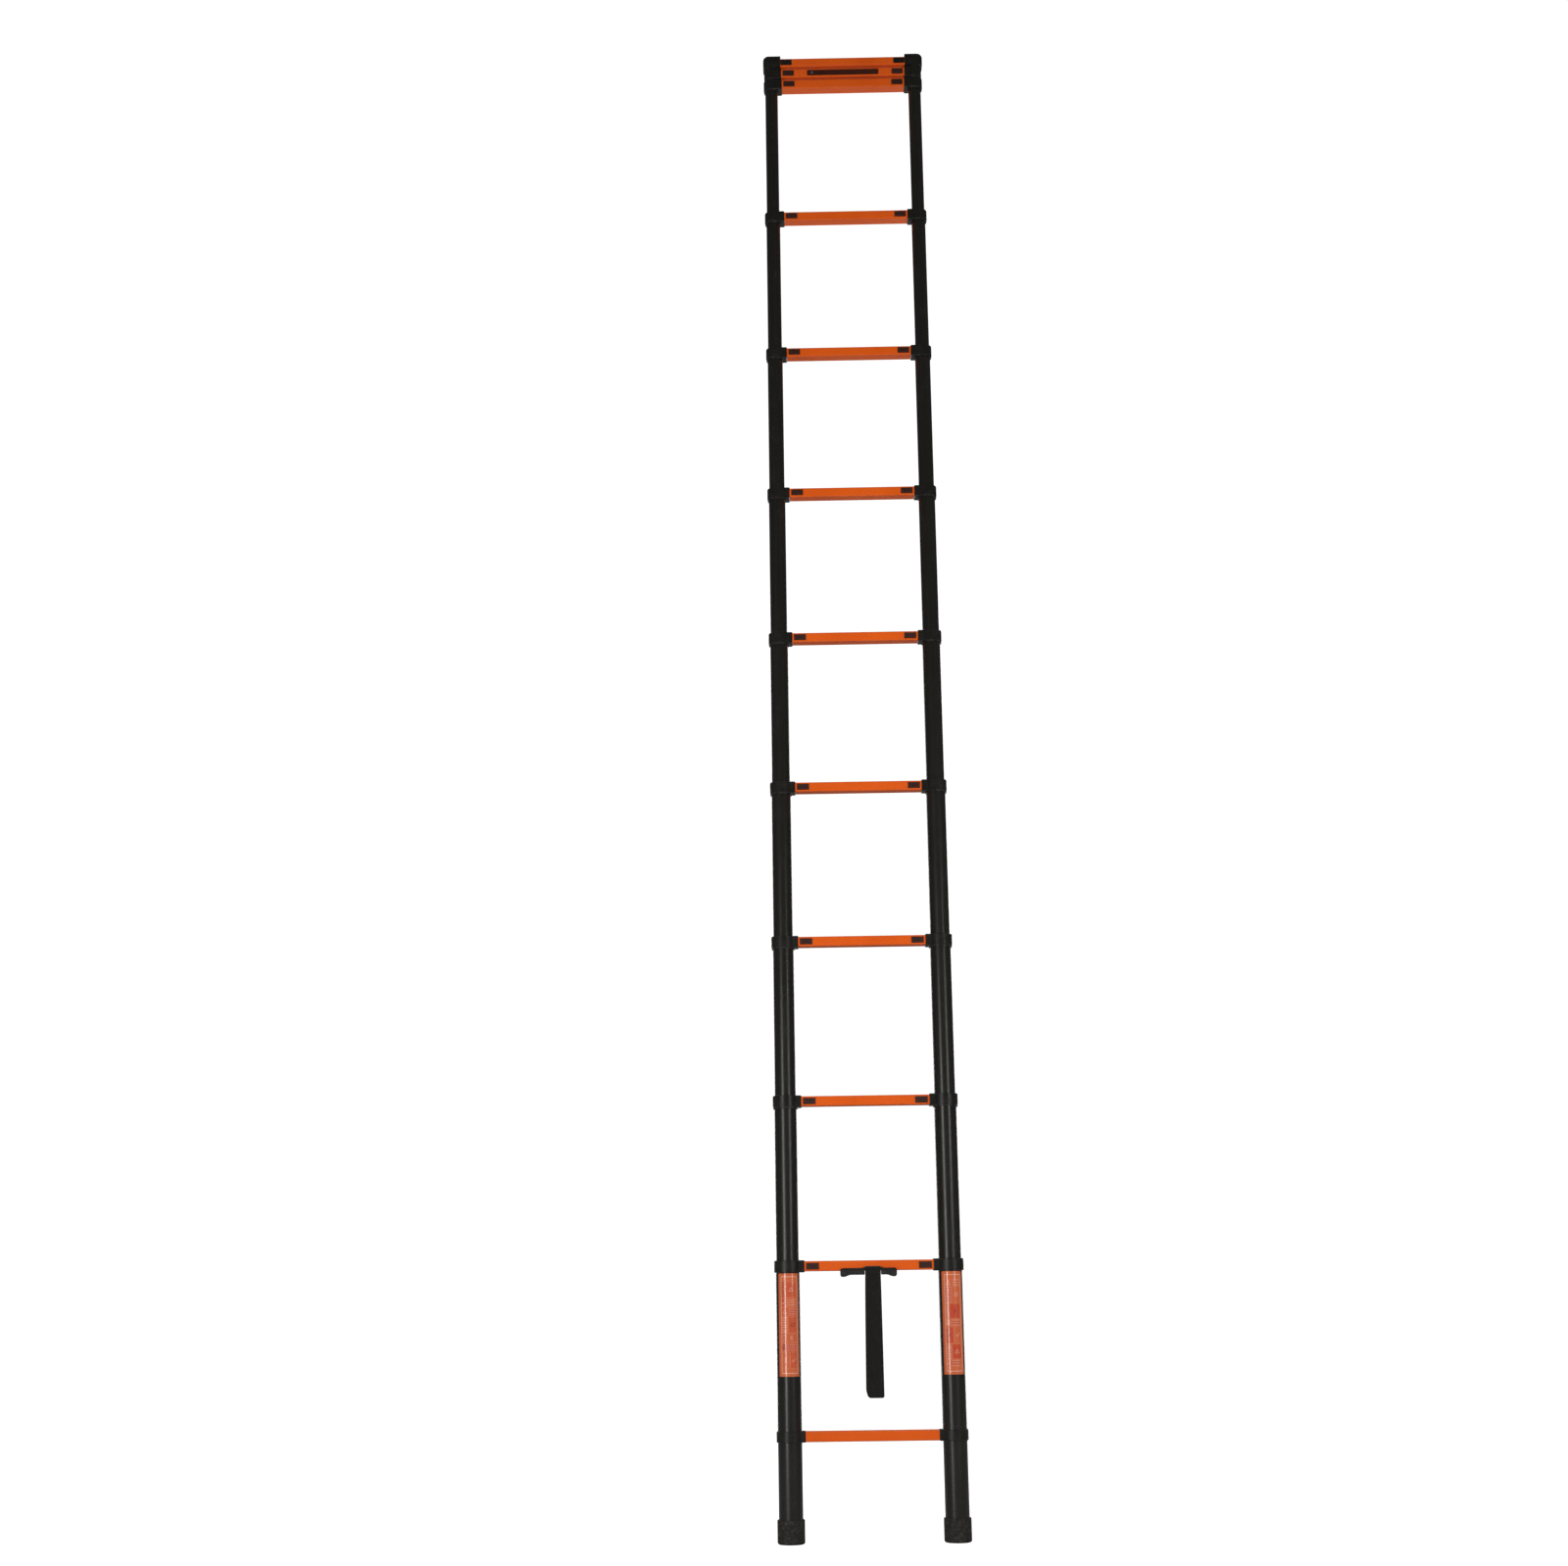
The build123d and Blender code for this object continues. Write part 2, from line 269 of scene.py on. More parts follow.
def start_group(name, inputs, outputs):
    """A new shader group with named sockets; returns its tree, its inputs and its output
    node.
    """
    tree = bpy.data.node_groups.new(name, "ShaderNodeTree")
    kinds = {"value": "NodeSocketFloat", "colour": "NodeSocketColor"}
    for label, kind, default in inputs:
        socket = tree.interface.new_socket(label, in_out="INPUT", socket_type=kinds[kind])
        socket.default_value = default
    for label, kind in outputs:
        tree.interface.new_socket(label, in_out="OUTPUT", socket_type=kinds[kind])
    given = tree.nodes.new("NodeGroupInput").outputs
    result = tree.nodes.new("NodeGroupOutput")
    return tree, given, result


def use_group(tree, group, values):
    """A group placed in a material with its own values."""
    made = tree.nodes.new("ShaderNodeGroup")
    made.node_tree = group
    feed(tree, made.inputs, values)
    return made.outputs


def start_material(name, **fixed):
    """A material whose Principled shader takes the fixed values on its own sockets; an
    underscore in a keyword stands for a space in the socket's name.
    """
    material = bpy.data.materials.new(name)
    material.use_nodes = True
    tree = material.node_tree
    shader = tree.nodes["Principled BSDF"]
    for key, value in fixed.items():
        shader.inputs[key.replace("_", " ")].default_value = value
    return material, tree, shader


def add_bump(tree, shader, height, distance, strength):
    """Feeds the shader's normal from a height in units of distance metres."""
    inputs = {"Height": height, "Distance": distance, "Strength": strength}
    bump = add_node(tree, "ShaderNodeBump", inputs)
    feed(tree, shader.inputs, {"Normal": bump.outputs["Normal"]})


# %% [markdown]
# ## Shared effects
#
# A few effects cover most of the ladder. **Grain** is the fine texture of a moulding, at the
# scale of a few tenths of a millimetre, with a slow mottle under it. **Streaks** are the
# lines that a drawing die leaves along a tube. **Scuffs** are the pale marks of handling.
# **Dust** settles on what faces up. **Edge wear** needs to know where the edges are. The
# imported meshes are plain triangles, so it is worked out from the height above the nearest
# rung and the depth, which are known for every rung and collar.


# %% Shared effect groups
COLOUR_AND_MASK = [("Colour", "colour"), ("Mask", "value")]


def make_grain_group():
    """Height of a fine grain, and a slow mottle from 0 to 1."""
    inputs = [("Fineness", "value", 2200.0), ("Mottle Size", "value", 25.0)]
    outputs = [("Height", "value"), ("Mottle", "value")]
    tree, given, result = start_group("moulded_grain", inputs, outputs)
    place = object_place(tree)
    fine = noise(tree, place, given["Fineness"], 2.0, 0.6)
    slow = noise(tree, place, given["Mottle Size"], 3.0, 0.55)
    feed(tree, result.inputs, {"Height": fine, "Mottle": remap(tree, slow, 0.3, 0.7)})
    return tree


def make_streak_group():
    """Lines along Z: noise whose coordinates are squeezed along the tube."""
    inputs = [("Across", "value", 900.0), ("Along", "value", 4.0)]
    outputs = [("Height", "value"), ("Mask", "value")]
    tree, given, result = start_group("drawn_streaks", inputs, outputs)
    place = object_place(tree)
    split = axes(tree, place)
    across_x = times(tree, split[0], given["Across"])
    across_y = times(tree, split[1], given["Across"])
    along = times(tree, split[2], given["Along"])
    stretched = add_node(tree, "ShaderNodeCombineXYZ", {0: across_x, 1: across_y, 2: along})
    lines = noise(tree, stretched.outputs[0], 1.0, 3.0, 0.6)
    feed(tree, result.inputs, {"Height": lines, "Mask": remap(tree, lines, 0.42, 0.68)})
    return tree


def show_where(tree, given, result, mask, other):
    """Ends a group whose colour turns to the other one where the mask is 1."""
    coloured = mix_colour(tree, mask, given["Colour"], given[other])
    feed(tree, result.inputs, {"Colour": coloured, "Mask": mask})
    return tree


def make_scuff_group():
    """Colour with pale rubbed marks: broad noise gates a finer, broken one."""
    inputs = [
        ("Colour", "colour", (0.02, 0.02, 0.02, 1)),
        ("Rubbed Colour", "colour", (0.1, 0.1, 0.1, 1)),
        ("Amount", "value", 0.4),
        ("Size", "value", 40.0),
    ]
    tree, given, result = start_group("handling_scuffs", inputs, COLOUR_AND_MASK)
    place = object_place(tree)
    broad = remap(tree, noise(tree, place, given["Size"], 2.0), 0.52, 0.72)
    finer = times(tree, given["Size"], 9.0)
    broken = remap(tree, noise(tree, place, finer, 4.0, 0.7), 0.5, 0.66)
    marks = times(tree, broad, broken)
    mask = times(tree, marks, given["Amount"], clamp=True)
    return show_where(tree, given, result, mask, "Rubbed Colour")


def make_dust_group():
    """Colour with dust on what faces up: the surface normal's Z, broken by noise."""
    inputs = [
        ("Colour", "colour", (0.5, 0.1, 0.02, 1)),
        ("Dust Colour", "colour", (0.45, 0.42, 0.38, 1)),
        ("Amount", "value", 0.25),
    ]
    tree, given, result = start_group("settled_dust", inputs, COLOUR_AND_MASK)
    coordinates = tree.nodes.new("ShaderNodeTexCoord").outputs
    facing = axes(tree, coordinates["Normal"])[2]
    broken = remap(tree, noise(tree, coordinates["Object"], 60.0, 4.0, 0.65), 0.3, 0.75)
    upward = remap(tree, facing, 0.35, 0.95)
    mask = times(tree, times(tree, upward, broken), given["Amount"])
    return show_where(tree, given, result, mask, "Dust Colour")


def make_level_group():
    """Height above the middle of the nearest rung. Up to the tenth rung, Z less the first
    level is wrapped to plus or minus half the spacing; above it, the closed spacing is used.
    """
    tree, given, result = start_group("height_above_rung", [], [("Height", "value")])
    place = object_place(tree)
    z = axes(tree, place)[2]
    heights = []
    for first, spacing in ((rung_level[1], drawn_spacing), (rung_level[10], closed_spacing)):
        shifted = math_node(tree, "SUBTRACT", z, first - spacing / 2)
        wrapped = math_node(tree, "FLOORED_MODULO", shifted, spacing)
        heights.append(math_node(tree, "SUBTRACT", wrapped, spacing / 2))
    upper = math_node(tree, "GREATER_THAN", z, rung_level[10] + closed_spacing / 2)
    lower = math_node(tree, "SUBTRACT", 1.0, upper)
    low_part = times(tree, heights[0], lower)
    high_part = times(tree, heights[1], upper)
    feed(tree, result.inputs, {"Height": math_node(tree, "ADD", low_part, high_part)})
    return tree


def make_wear_group():
    """Colour worn along the long edges of a rung or the rims of a collar: the places where
    both the height above the rung and the depth come near their limits, broken by noise.
    """
    inputs = [
        ("Colour", "colour", (0.5, 0.1, 0.02, 1)),
        ("Worn Colour", "colour", (0.4, 0.4, 0.4, 1)),
        ("Half Height", "value", 0.012),
        ("Half Depth", "value", 0.018),
        ("Width", "value", 0.002),
        ("Amount", "value", 0.5),
    ]
    tree, given, result = start_group("edge_wear", inputs, COLOUR_AND_MASK)
    level = use_group(tree, level_group, {})["Height"]
    place = object_place(tree)
    depth = axes(tree, place)[1]
    near = []
    for value, limit in ((level, given["Half Height"]), (depth, given["Half Depth"])):
        inner = math_node(tree, "SUBTRACT", limit, given["Width"])
        near.append(remap(tree, math_node(tree, "ABSOLUTE", value), inner, limit))
    broken = remap(tree, noise(tree, place, 130.0, 4.0, 0.7), 0.45, 0.65)
    both = times(tree, near[0], near[1])
    mask = times(tree, times(tree, both, broken), given["Amount"])
    return show_where(tree, given, result, mask, "Worn Colour")


def add_scuffs(tree, colour, rubbed, amount, size):
    """The scuff group placed in a material; a larger size number makes smaller marks."""
    values = {"Colour": colour, "Rubbed Colour": (*rubbed, 1), "Amount": amount, "Size": size}
    return use_group(tree, scuff_group, values)


def add_dust(tree, colour, dust_colour, amount):
    """The dust group placed in a material."""
    values = {"Colour": colour, "Dust Colour": (*dust_colour, 1), "Amount": amount}
    return use_group(tree, dust_group, values)


level_group = make_level_group()
wear_group = make_wear_group()
grain_group = make_grain_group()
streak_group = make_streak_group()
scuff_group = make_scuff_group()
dust_group = make_dust_group()
print("shared effects", [g.name for g in bpy.data.node_groups])

# %% [markdown]
# ## Black tubes
#
# The rails are drawn aluminium with a black satin coat. Die lines run along them and show
# as faint streaks in the highlights, and handling has left a few paler, rougher scuffs.


# %% Black tube finish
def make_tube_finish():
    """Near-black satin coat with streaks along the tube in colour, roughness and bump."""
    coat = {"Coat_Weight": 0.15, "Coat_Roughness": 0.25}
    material, tree, shader = start_material("black_tube_finish", **coat)
    streaks = use_group(tree, streak_group, {"Across": 700.0, "Along": 3.0})
    dark, light = (0.0082, 0.0077, 0.0060, 1), (0.0140, 0.0132, 0.0108, 1)
    base = mix_colour(tree, streaks["Mask"], dark, light)
    scuffs = add_scuffs(tree, base, (0.05, 0.05, 0.046), 0.35, 22.0)
    grain = use_group(tree, grain_group, {"Fineness": 1500.0, "Mottle Size": 12.0})
    rough = remap(tree, grain["Mottle"], 0.0, 1.0, 0.26, 0.36)
    rough = plus_share(tree, rough, scuffs["Mask"], 0.3)
    feed(tree, shader.inputs, {"Base Color": scuffs["Colour"], "Roughness": rough})
    height = plus_share(tree, streaks["Height"], grain["Height"], 0.35)
    add_bump(tree, shader, height, 0.03 * MM, 0.5)
    return material


tube_finish = make_tube_finish()
print("tube finish has", len(tube_finish.node_tree.nodes), "nodes")

# %% [markdown]
# ## Orange rungs
#
# The rungs are aluminium extrusions with a bright powder coat. Powder coat has a soft
# pebbled skin, called orange peel, and the tread gets dusty and loses a little colour.


# %% Orange rung finish
def make_rung_finish():
    """Orange powder coat: orange-peel bump, slow colour drift, scuffs, dust on top, and
    bare aluminium showing in a few spots along the edges.
    """
    material, tree, shader = start_material("orange_rung_finish", Specular_IOR_Level=0.3)
    grain = use_group(tree, grain_group, {"Fineness": 900.0, "Mottle Size": 9.0})
    base = mix_colour(tree, grain["Mottle"], (0.72, 0.094, 0.003, 1), (0.82, 0.116, 0.005, 1))
    scuffs = add_scuffs(tree, base, (0.50, 0.07, 0.012), 0.5, 18.0)
    dust = add_dust(tree, scuffs["Colour"], (0.48, 0.32, 0.24), 0.4)
    size = {"Half Height": rung_half_tall, "Half Depth": rung_half_deep}
    wear = {"Width": 2.2 * MM, "Amount": 0.6, "Worn Colour": (0.72, 0.36, 0.22, 1)}
    worn = use_group(tree, wear_group, {"Colour": dust["Colour"], **size, **wear})
    rough = remap(tree, grain["Mottle"], 0.0, 1.0, 0.38, 0.48)
    rough = plus_share(tree, rough, dust["Mask"], 0.5)
    rough = plus_share(tree, rough, worn["Mask"], -0.12)
    feed(tree, shader.inputs, {"Base Color": worn["Colour"], "Roughness": rough})
    height = plus_share(tree, grain["Height"], worn["Mask"], -0.8)
    add_bump(tree, shader, height, 0.06 * MM, 0.5)
    return material


rung_finish = make_rung_finish()
print("rung finish has", len(rung_finish.node_tree.nodes), "nodes")

# %% [markdown]
# ## Black mouldings, rubber and dark plastics
#
# Collars, caps and clamps are glass-filled nylon with a spark-eroded grain. The latches and
# the strip on the second rung from the top are a brown-black plastic. The feet are rubber,
# duller than any of them. One function makes them all from a few values.


# %% Plastic and rubber finishes
def make_plastic_finish(
    name, dark, light, rubbed, roughness, fineness=2600.0, depth=0.1 * MM, scuffing=0.5
):
    """A grained plastic or rubber: a dark and a light colour in a slow mottle, marks in a
    rubbed colour, and a fine grain of the given depth in metres.
    """
    material, tree, shader = start_material(name, Specular_IOR_Level=0.4)
    grain = use_group(tree, grain_group, {"Fineness": fineness, "Mottle Size": 30.0})
    base = mix_colour(tree, grain["Mottle"], (*dark, 1), (*light, 1))
    scuffs = add_scuffs(tree, base, rubbed, scuffing, 45.0)
    dust = add_dust(tree, scuffs["Colour"], (0.16, 0.15, 0.14), 0.22)
    size = {"Half Height": collar_half_tall, "Half Depth": 2 * MM}
    wear = {"Width": 1.6 * MM, "Amount": 0.7, "Worn Colour": (*rubbed, 1)}
    worn = use_group(tree, wear_group, {"Colour": dust["Colour"], **size, **wear})
    rough = remap(tree, grain["Mottle"], 0.0, 1.0, roughness - 0.05, roughness + 0.06)
    rough = plus_share(tree, rough, dust["Mask"], 0.4)
    rough = plus_share(tree, rough, worn["Mask"], -0.15)
    feed(tree, shader.inputs, {"Base Color": worn["Colour"], "Roughness": rough})
    add_bump(tree, shader, grain["Height"], depth, 0.6)
    return material


moulding_finish = make_plastic_finish(
    "black_moulding_finish",
    (0.0085, 0.0081, 0.0066), (0.0130, 0.0122, 0.0100), (0.05, 0.048, 0.041),
    roughness=0.34, depth=0.12 * MM,
)
latch_finish = make_plastic_finish(
    "latch_plastic_finish",
    (0.036, 0.0125, 0.009), (0.052, 0.019, 0.0135), (0.12, 0.06, 0.045),
    roughness=0.5,
)
insert_finish = make_plastic_finish(
    "insert_plastic_finish",
    (0.040, 0.0085, 0.004), (0.058, 0.013, 0.006), (0.12, 0.05, 0.03),
    roughness=0.42, fineness=2400.0, scuffing=0.4,
)
grip_finish = make_plastic_finish(
    "grip_plastic_finish",
    (0.009, 0.0085, 0.0078), (0.014, 0.0132, 0.012), (0.05, 0.048, 0.045),
    roughness=0.5, fineness=2000.0, depth=0.14 * MM,
)
rubber_finish = make_plastic_finish(
    "foot_rubber_finish",
    (0.0115, 0.0108, 0.0085), (0.0165, 0.0155, 0.0130), (0.05, 0.047, 0.040),
    roughness=0.72, fineness=1400.0, depth=0.2 * MM,
)
print("plastics", [m.name for m in bpy.data.materials if "finish" in m.name])

# %% [markdown]
# ## Bright hardware
#
# The screw in the handle strip and the springs behind the latches are zinc-plated steel.


# %% Zinc finish
def make_zinc_finish():
    """Plated steel: slightly yellowish grey, with a cloudy roughness."""
    material, tree, shader = start_material("zinc_steel_finish", Metallic=1.0)
    grain = use_group(tree, grain_group, {"Fineness": 1800.0, "Mottle Size": 220.0})
    colour = mix_colour(tree, grain["Mottle"], (0.52, 0.51, 0.47, 1), (0.68, 0.67, 0.64, 1))
    rough = remap(tree, grain["Mottle"], 0.0, 1.0, 0.28, 0.42)
    feed(tree, shader.inputs, {"Base Color": colour, "Roughness": rough})
    add_bump(tree, shader, grain["Height"], 0.03 * MM, 0.4)
    return material


zinc_finish = make_zinc_finish()
print("zinc finish has", len(zinc_finish.node_tree.nodes), "nodes")

# %% [markdown]
# ## Giving the model its finishes
#
# A part's name says what it is made of, so the finish is chosen by the start of the name.

# %% Finish for each node
FINISHES = {
    "tubes": tube_finish,
    "rung": rung_finish,
    "collars": moulding_finish,
    "top": moulding_finish,
    "bottom": moulding_finish,
    "latch": latch_finish,
    "handle": insert_finish,
    "rubber": rubber_finish,
    "strap": grip_finish,
    "rail": latch_finish,
}
for name, node in nodes.items():
    node.data.materials.clear()
    node.data.materials.append(FINISHES[name.split("_")[0]])
print("finished", len(nodes), "nodes")

# %% [markdown]
# ## The webbing strap
#
# A strip of polyamide webbing is folded over the grip's waist, and its two layers hang
# together, sewn below the loop and near the end. Cloth simulation would find the same
# straight fall, so the path is written down instead: up the back, round the waist in a half
# circle, and down the front. Webbing is stiff in its own plane, so the two layers fan apart
# sideways by a few millimetres, and the front one is cut a little shorter.

# %% Strap sizes
strap_low, strap_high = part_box("strap")
webbing_width = strap_high.x - strap_low.x
webbing_thickness = 1.7 * MM
loop_radius = (strap_high.z - strap_pivot[2]) - webbing_thickness / 2 - 0.1 * MM
layer_gap = 0.25 * MM
strap_drop = strap_pivot[2] - strap_low.z
NECK_DROP = 15 * MM
FRONT_SHORTER = 1.5 * MM
FAN = {1: 2.4 * MM, -1: -3.9 * MM}
BOW = 0.8 * MM
SWAY = 1.2 * MM
SEALED_CORNER = 4 * MM
TRIM_LENGTH = 19 * MM
TRIM_WIDTH = 5 * MM
print("webbing", webbing_width, "wide, hanging", round(strap_drop, 4))


def layer_place(below, side):
    """Sideways shift and Y of a layer's middle at distances below the pivot; side is 1 for
    the back layer and -1 for the front one.

    A layer hangs half a thickness from the middle plane, bows out by a squared sine between
    its seams and sways with a sine that grows downwards. Near the top it spreads to the
    loop's radius along a smooth step.
    """
    spread = np.clip(1 - below / NECK_DROP, 0, 1)
    spread = spread * spread * (3 - 2 * spread)
    near = (webbing_thickness + layer_gap) / 2
    free = np.clip((below - NECK_DROP) / (strap_drop - NECK_DROP), 0, 1)
    out = near + BOW * np.sin(np.pi * free) ** 2
    out = out + (loop_radius - near) * spread
    sway = SWAY * np.sin(2.2 * np.pi * free) * free
    return FAN[side] * free**0.7, strap_pivot[1] + side * out + sway


def strap_path(count_straight=180, count_loop=40):
    """The webbing's centreline as rows of sideways shift, Y and Z, from the back layer's
    end, round the waist, to the front layer's end.
    """
    below = np.linspace(strap_drop, 0, count_straight)
    shift, y = layer_place(below, 1)
    back = np.stack([shift, y, strap_pivot[2] - below], axis=1)
    angle = np.linspace(0, np.pi, count_loop)[1:-1]
    y = strap_pivot[1] + loop_radius * np.cos(angle)
    z = strap_pivot[2] + loop_radius * np.sin(angle)
    loop = np.stack([np.zeros_like(angle), y, z], axis=1)
    below = np.linspace(0, strap_drop - FRONT_SHORTER, count_straight)
    shift, y = layer_place(below, -1)
    front = np.stack([shift, y, strap_pivot[2] - below], axis=1)
    return np.concatenate([back, loop, front])


def path_lengths(path):
    """Distance along a path at each of its points."""
    return np.concatenate([[0], np.cumsum(np.linalg.norm(np.diff(path, axis=0), axis=1))])


# %% [markdown]
# The weave is made in the shader, because its ribs are under a millimetre. The strip has
# its own UV map in metres, across and along, so the ribs follow the fold. Its edges are a
# little thicker than its middle, as a woven selvedge is.


# %% Webbing finish
def make_weave_group():
    """Height and shade of a plain heavy webbing: rounded warp ribs along the strap, broken
    into herringbone steps by the weft.
    """
    inputs = [("Rib Width", "value", 1.3 * MM), ("Step Length", "value", 2.1 * MM)]
    outputs = [("Height", "value"), ("Painted Gap Shade", "value")]
    tree, given, result = start_group("webbing_weave", inputs, outputs)
    place = add_node(tree, "ShaderNodeUVMap", uv_map="cloth").outputs[0]
    split = axes(tree, place)
    rib = math_node(tree, "DIVIDE", split[0], given["Rib Width"])
    row = math_node(tree, "FLOOR", rib)
    odd = times(tree, math_node(tree, "MODULO", row, 2.0), 0.5)
    wave = math_node(tree, "SINE", times(tree, rib, math.pi))
    rib_height = math_node(tree, "ABSOLUTE", wave)
    step = math_node(tree, "ADD", math_node(tree, "DIVIDE", split[1], given["Step Length"]), odd)
    slant = math_node(tree, "ADD", step, times(tree, math_node(tree, "FRACT", rib), 0.5))
    step_sine = math_node(tree, "SINE", times(tree, slant, math.pi))
    step_wave = math_node(tree, "ABSOLUTE", step_sine)
    height = times(tree, rib_height, math_node(tree, "POWER", step_wave, 0.5))
    # The second output is a painted shade mask: 1 where the weave is low, between the ribs.
    feed(tree, result.inputs, {"Height": height, "Painted Gap Shade": remap(tree, height, 0.45, 0.1)})
    return tree


weave_group = make_weave_group()


def make_webbing_finish():
    """Black woven webbing with a soft sheen, painted shade between the ribs, and slightly dusty."""
    fixed = {"Sheen_Weight": 0.25, "Sheen_Roughness": 0.5, "Specular_IOR_Level": 0.25}
    material, tree, shader = start_material("strap_webbing_finish", **fixed)
    weave = use_group(tree, weave_group, {})
    grain = use_group(tree, grain_group, {"Fineness": 3200.0, "Mottle Size": 35.0})
    dark, light = (0.0080, 0.0075, 0.0060, 1), (0.0120, 0.0112, 0.0092, 1)
    thread = mix_colour(tree, grain["Mottle"], dark, light)
    # Painted shade: the thread colour turns near black in the low gaps between the ribs.
    shaded = mix_colour(tree, weave["Painted Gap Shade"], thread, (0.003, 0.003, 0.0027, 1))
    scuffs = add_scuffs(tree, shaded, (0.05, 0.048, 0.043), 0.3, 30.0)
    rough = remap(tree, grain["Mottle"], 0.0, 1.0, 0.78, 0.92)
    feed(tree, shader.inputs, {"Base Color": scuffs["Colour"], "Roughness": rough})
    height = plus_share(tree, weave["Height"], grain["Height"], 0.25)
    add_bump(tree, shader, height, 0.4 * MM, 0.8)
    return material


webbing_finish = make_webbing_finish()
print("webbing finish has", len(webbing_finish.node_tree.nodes), "nodes")


# %% Strap mesh
def make_strap():
    """The webbing as a closed band: for each point of the path, a ring round the strip's
    section. The section is a flat oblong whose edges swell by a fifth into a selvedge. The
    corners of both ends are heat-sealed round, along a quarter circle, and the front
    layer's left corner is trimmed on a slant.
    """
    path = strap_path()
    along = path_lengths(path)
    shift, y_path, z_path = path.T
    tangent = np.gradient(path[:, 1:], axis=0)
    tangent /= np.linalg.norm(tangent, axis=1, keepdims=True)
    normal = np.stack([-tangent[:, 1], tangent[:, 0]], axis=1)
    across = np.linspace(-1, 1, 21)
    selvedge, rounding = np.abs(across) ** 8, np.abs(across) ** 40
    half = webbing_thickness / 2 * (1 + 0.2 * selvedge) * (1 - rounding * 0.7)
    ring_across = np.concatenate([across, across[::-1]])
    ring_half = np.concatenate([half, -half[::-1]])
    to_end = along[-1] - along
    into = np.clip(1 - np.minimum(along, to_end) / SEALED_CORNER, 0, 1)
    cut = np.clip(1 - to_end / TRIM_LENGTH, 0, 1)
    right_half = webbing_width / 2 - SEALED_CORNER * (1 - np.sqrt(1 - into**2))
    left_half = right_half - TRIM_WIDTH * cut**1.3
    side_width = np.where(ring_across[None, :] > 0, right_half[:, None], left_half[:, None])
    x = strap_pivot[0] + shift[:, None] + side_width * ring_across[None, :]
    y = y_path[:, None] + normal[:, 0, None] * ring_half[None, :]
    z = z_path[:, None] + normal[:, 1, None] * ring_half[None, :]
    points, faces = closed_skins(np.stack([x, y, z], axis=-1)[None])
    piece = make_piece("strap_webbing", points, faces, webbing_finish)
    with_poles = np.concatenate([along[:1], along, along[-1:]])
    point_across = np.tile(ring_across * webbing_width / 2, len(with_poles))
    point_along = np.repeat(with_poles, len(ring_across))
    corners = np.zeros(len(piece.data.loops), np.int32)
    piece.data.loops.foreach_get("vertex_index", corners)
    layer = piece.data.uv_layers.new(name="cloth")
    place = np.stack([point_across[corners], point_along[corners]], axis=1)
    layer.data.foreach_set("uv", place.ravel())
    return seal(piece), float(along[-1])


strap, webbing_length = make_strap()
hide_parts("strap")
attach(strap, "strap")
print("webbing", round(webbing_length, 4), "m long")


# %% [markdown]
# The two layers are sewn with a box and a cross, just under the loop and near the free end.
# Each stitch is a short bar of thread lying on the cloth.


# %% Stitches
STITCH_INSET = 3.5 * MM
STITCH_SPACING = 3.2 * MM
STITCH_RADIUS = 0.33 * MM
STITCH_LIFT = 0.05 * MM


def stitch_line(start, end, spacing):
    """Middle and direction of each stitch on a line between two points in the strap's
    plane.
    """
    start, end = np.array(start), np.array(end)
    length = np.linalg.norm(end - start)
    count = max(1, round(length / spacing))
    place = (np.arange(count) + 0.5) / count
    return start + place[:, None] * (end - start), np.tile((end - start) / length, (count, 1))


def make_stitches(name, top, height):
    """A sewn box with a cross, on both faces of the strap: each stitch is a six-sided bar
    with pinched ends, long by 0.72 of the spacing.
    """
    left, right_side, bottom = strap_low.x + STITCH_INSET, strap_high.x - STITCH_INSET, top - height
    corners = [(left, top), (right_side, top), (right_side, bottom), (left, bottom)]
    ends = list(zip(corners, corners[1:] + corners[:1])) + [corners[::2], corners[1::2]]
    lines = [stitch_line(first, last, STITCH_SPACING) for first, last in ends]
    place = np.concatenate([line[0] for line in lines])
    direction = np.concatenate([line[1] for line in lines])
    side = np.stack([-direction[:, 1], direction[:, 0]], axis=1)
    steps = np.array([-1.0, -0.8, 0.0, 0.8, 1.0]) * 0.36 * STITCH_SPACING
    thick = np.array([0.05, 0.8, 1.0, 0.8, 0.05]) * STITCH_RADIUS
    angle = circle(6)
    both = []
    for layer in (-1, 1):
        shift, surface = layer_place(strap_pivot[2] - place[:, 1], layer)
        surface = surface + layer * (webbing_thickness / 2 + STITCH_LIFT)
        along = direction[:, None, None] * steps[None, :, None, None]
        out = side[:, None, None] * (thick[:, None] * np.cos(angle))[None, :, :, None]
        flat = place[:, None, None] + along + out
        ring_x = flat[..., 0] + shift[:, None, None]
        ring_y = surface[:, None, None] + (thick[:, None] * np.sin(angle))[None]
        both.append(closed_skins(np.stack([ring_x, ring_y, flat[..., 1]], axis=-1)))
    points, faces = join_parts(both)
    return seal(make_piece(name, points, faces, thread_finish))


thread_finish = make_plastic_finish(
    "thread_finish",
    (0.016, 0.0155, 0.0145), (0.024, 0.023, 0.022), (0.06, 0.058, 0.05),
    roughness=0.7, fineness=5000.0, scuffing=0.2,
)
stitches = [
    make_stitches("strap_stitches_top", strap_pivot[2] - 20 * MM, 34 * MM),
    make_stitches("strap_stitches_end", strap_low.z + FRONT_SHORTER + 44 * MM, 36 * MM),
]
for piece in stitches:
    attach(piece, "strap")
print("stitched pieces", [piece.name for piece in stitches])

# %% [markdown]
# ## The T grip
#
# The grip is one moulding in the shape of a T: two short handles, each with a lobe at its end
# that stops the hand, and a round waist between them that carries the strap. It could be cut
# from a block, but a hand grip has no sharp corner anywhere, so each half is a skin over
# rounded oblong sections whose lower edge rises from the lobe into the hollow of the hand.

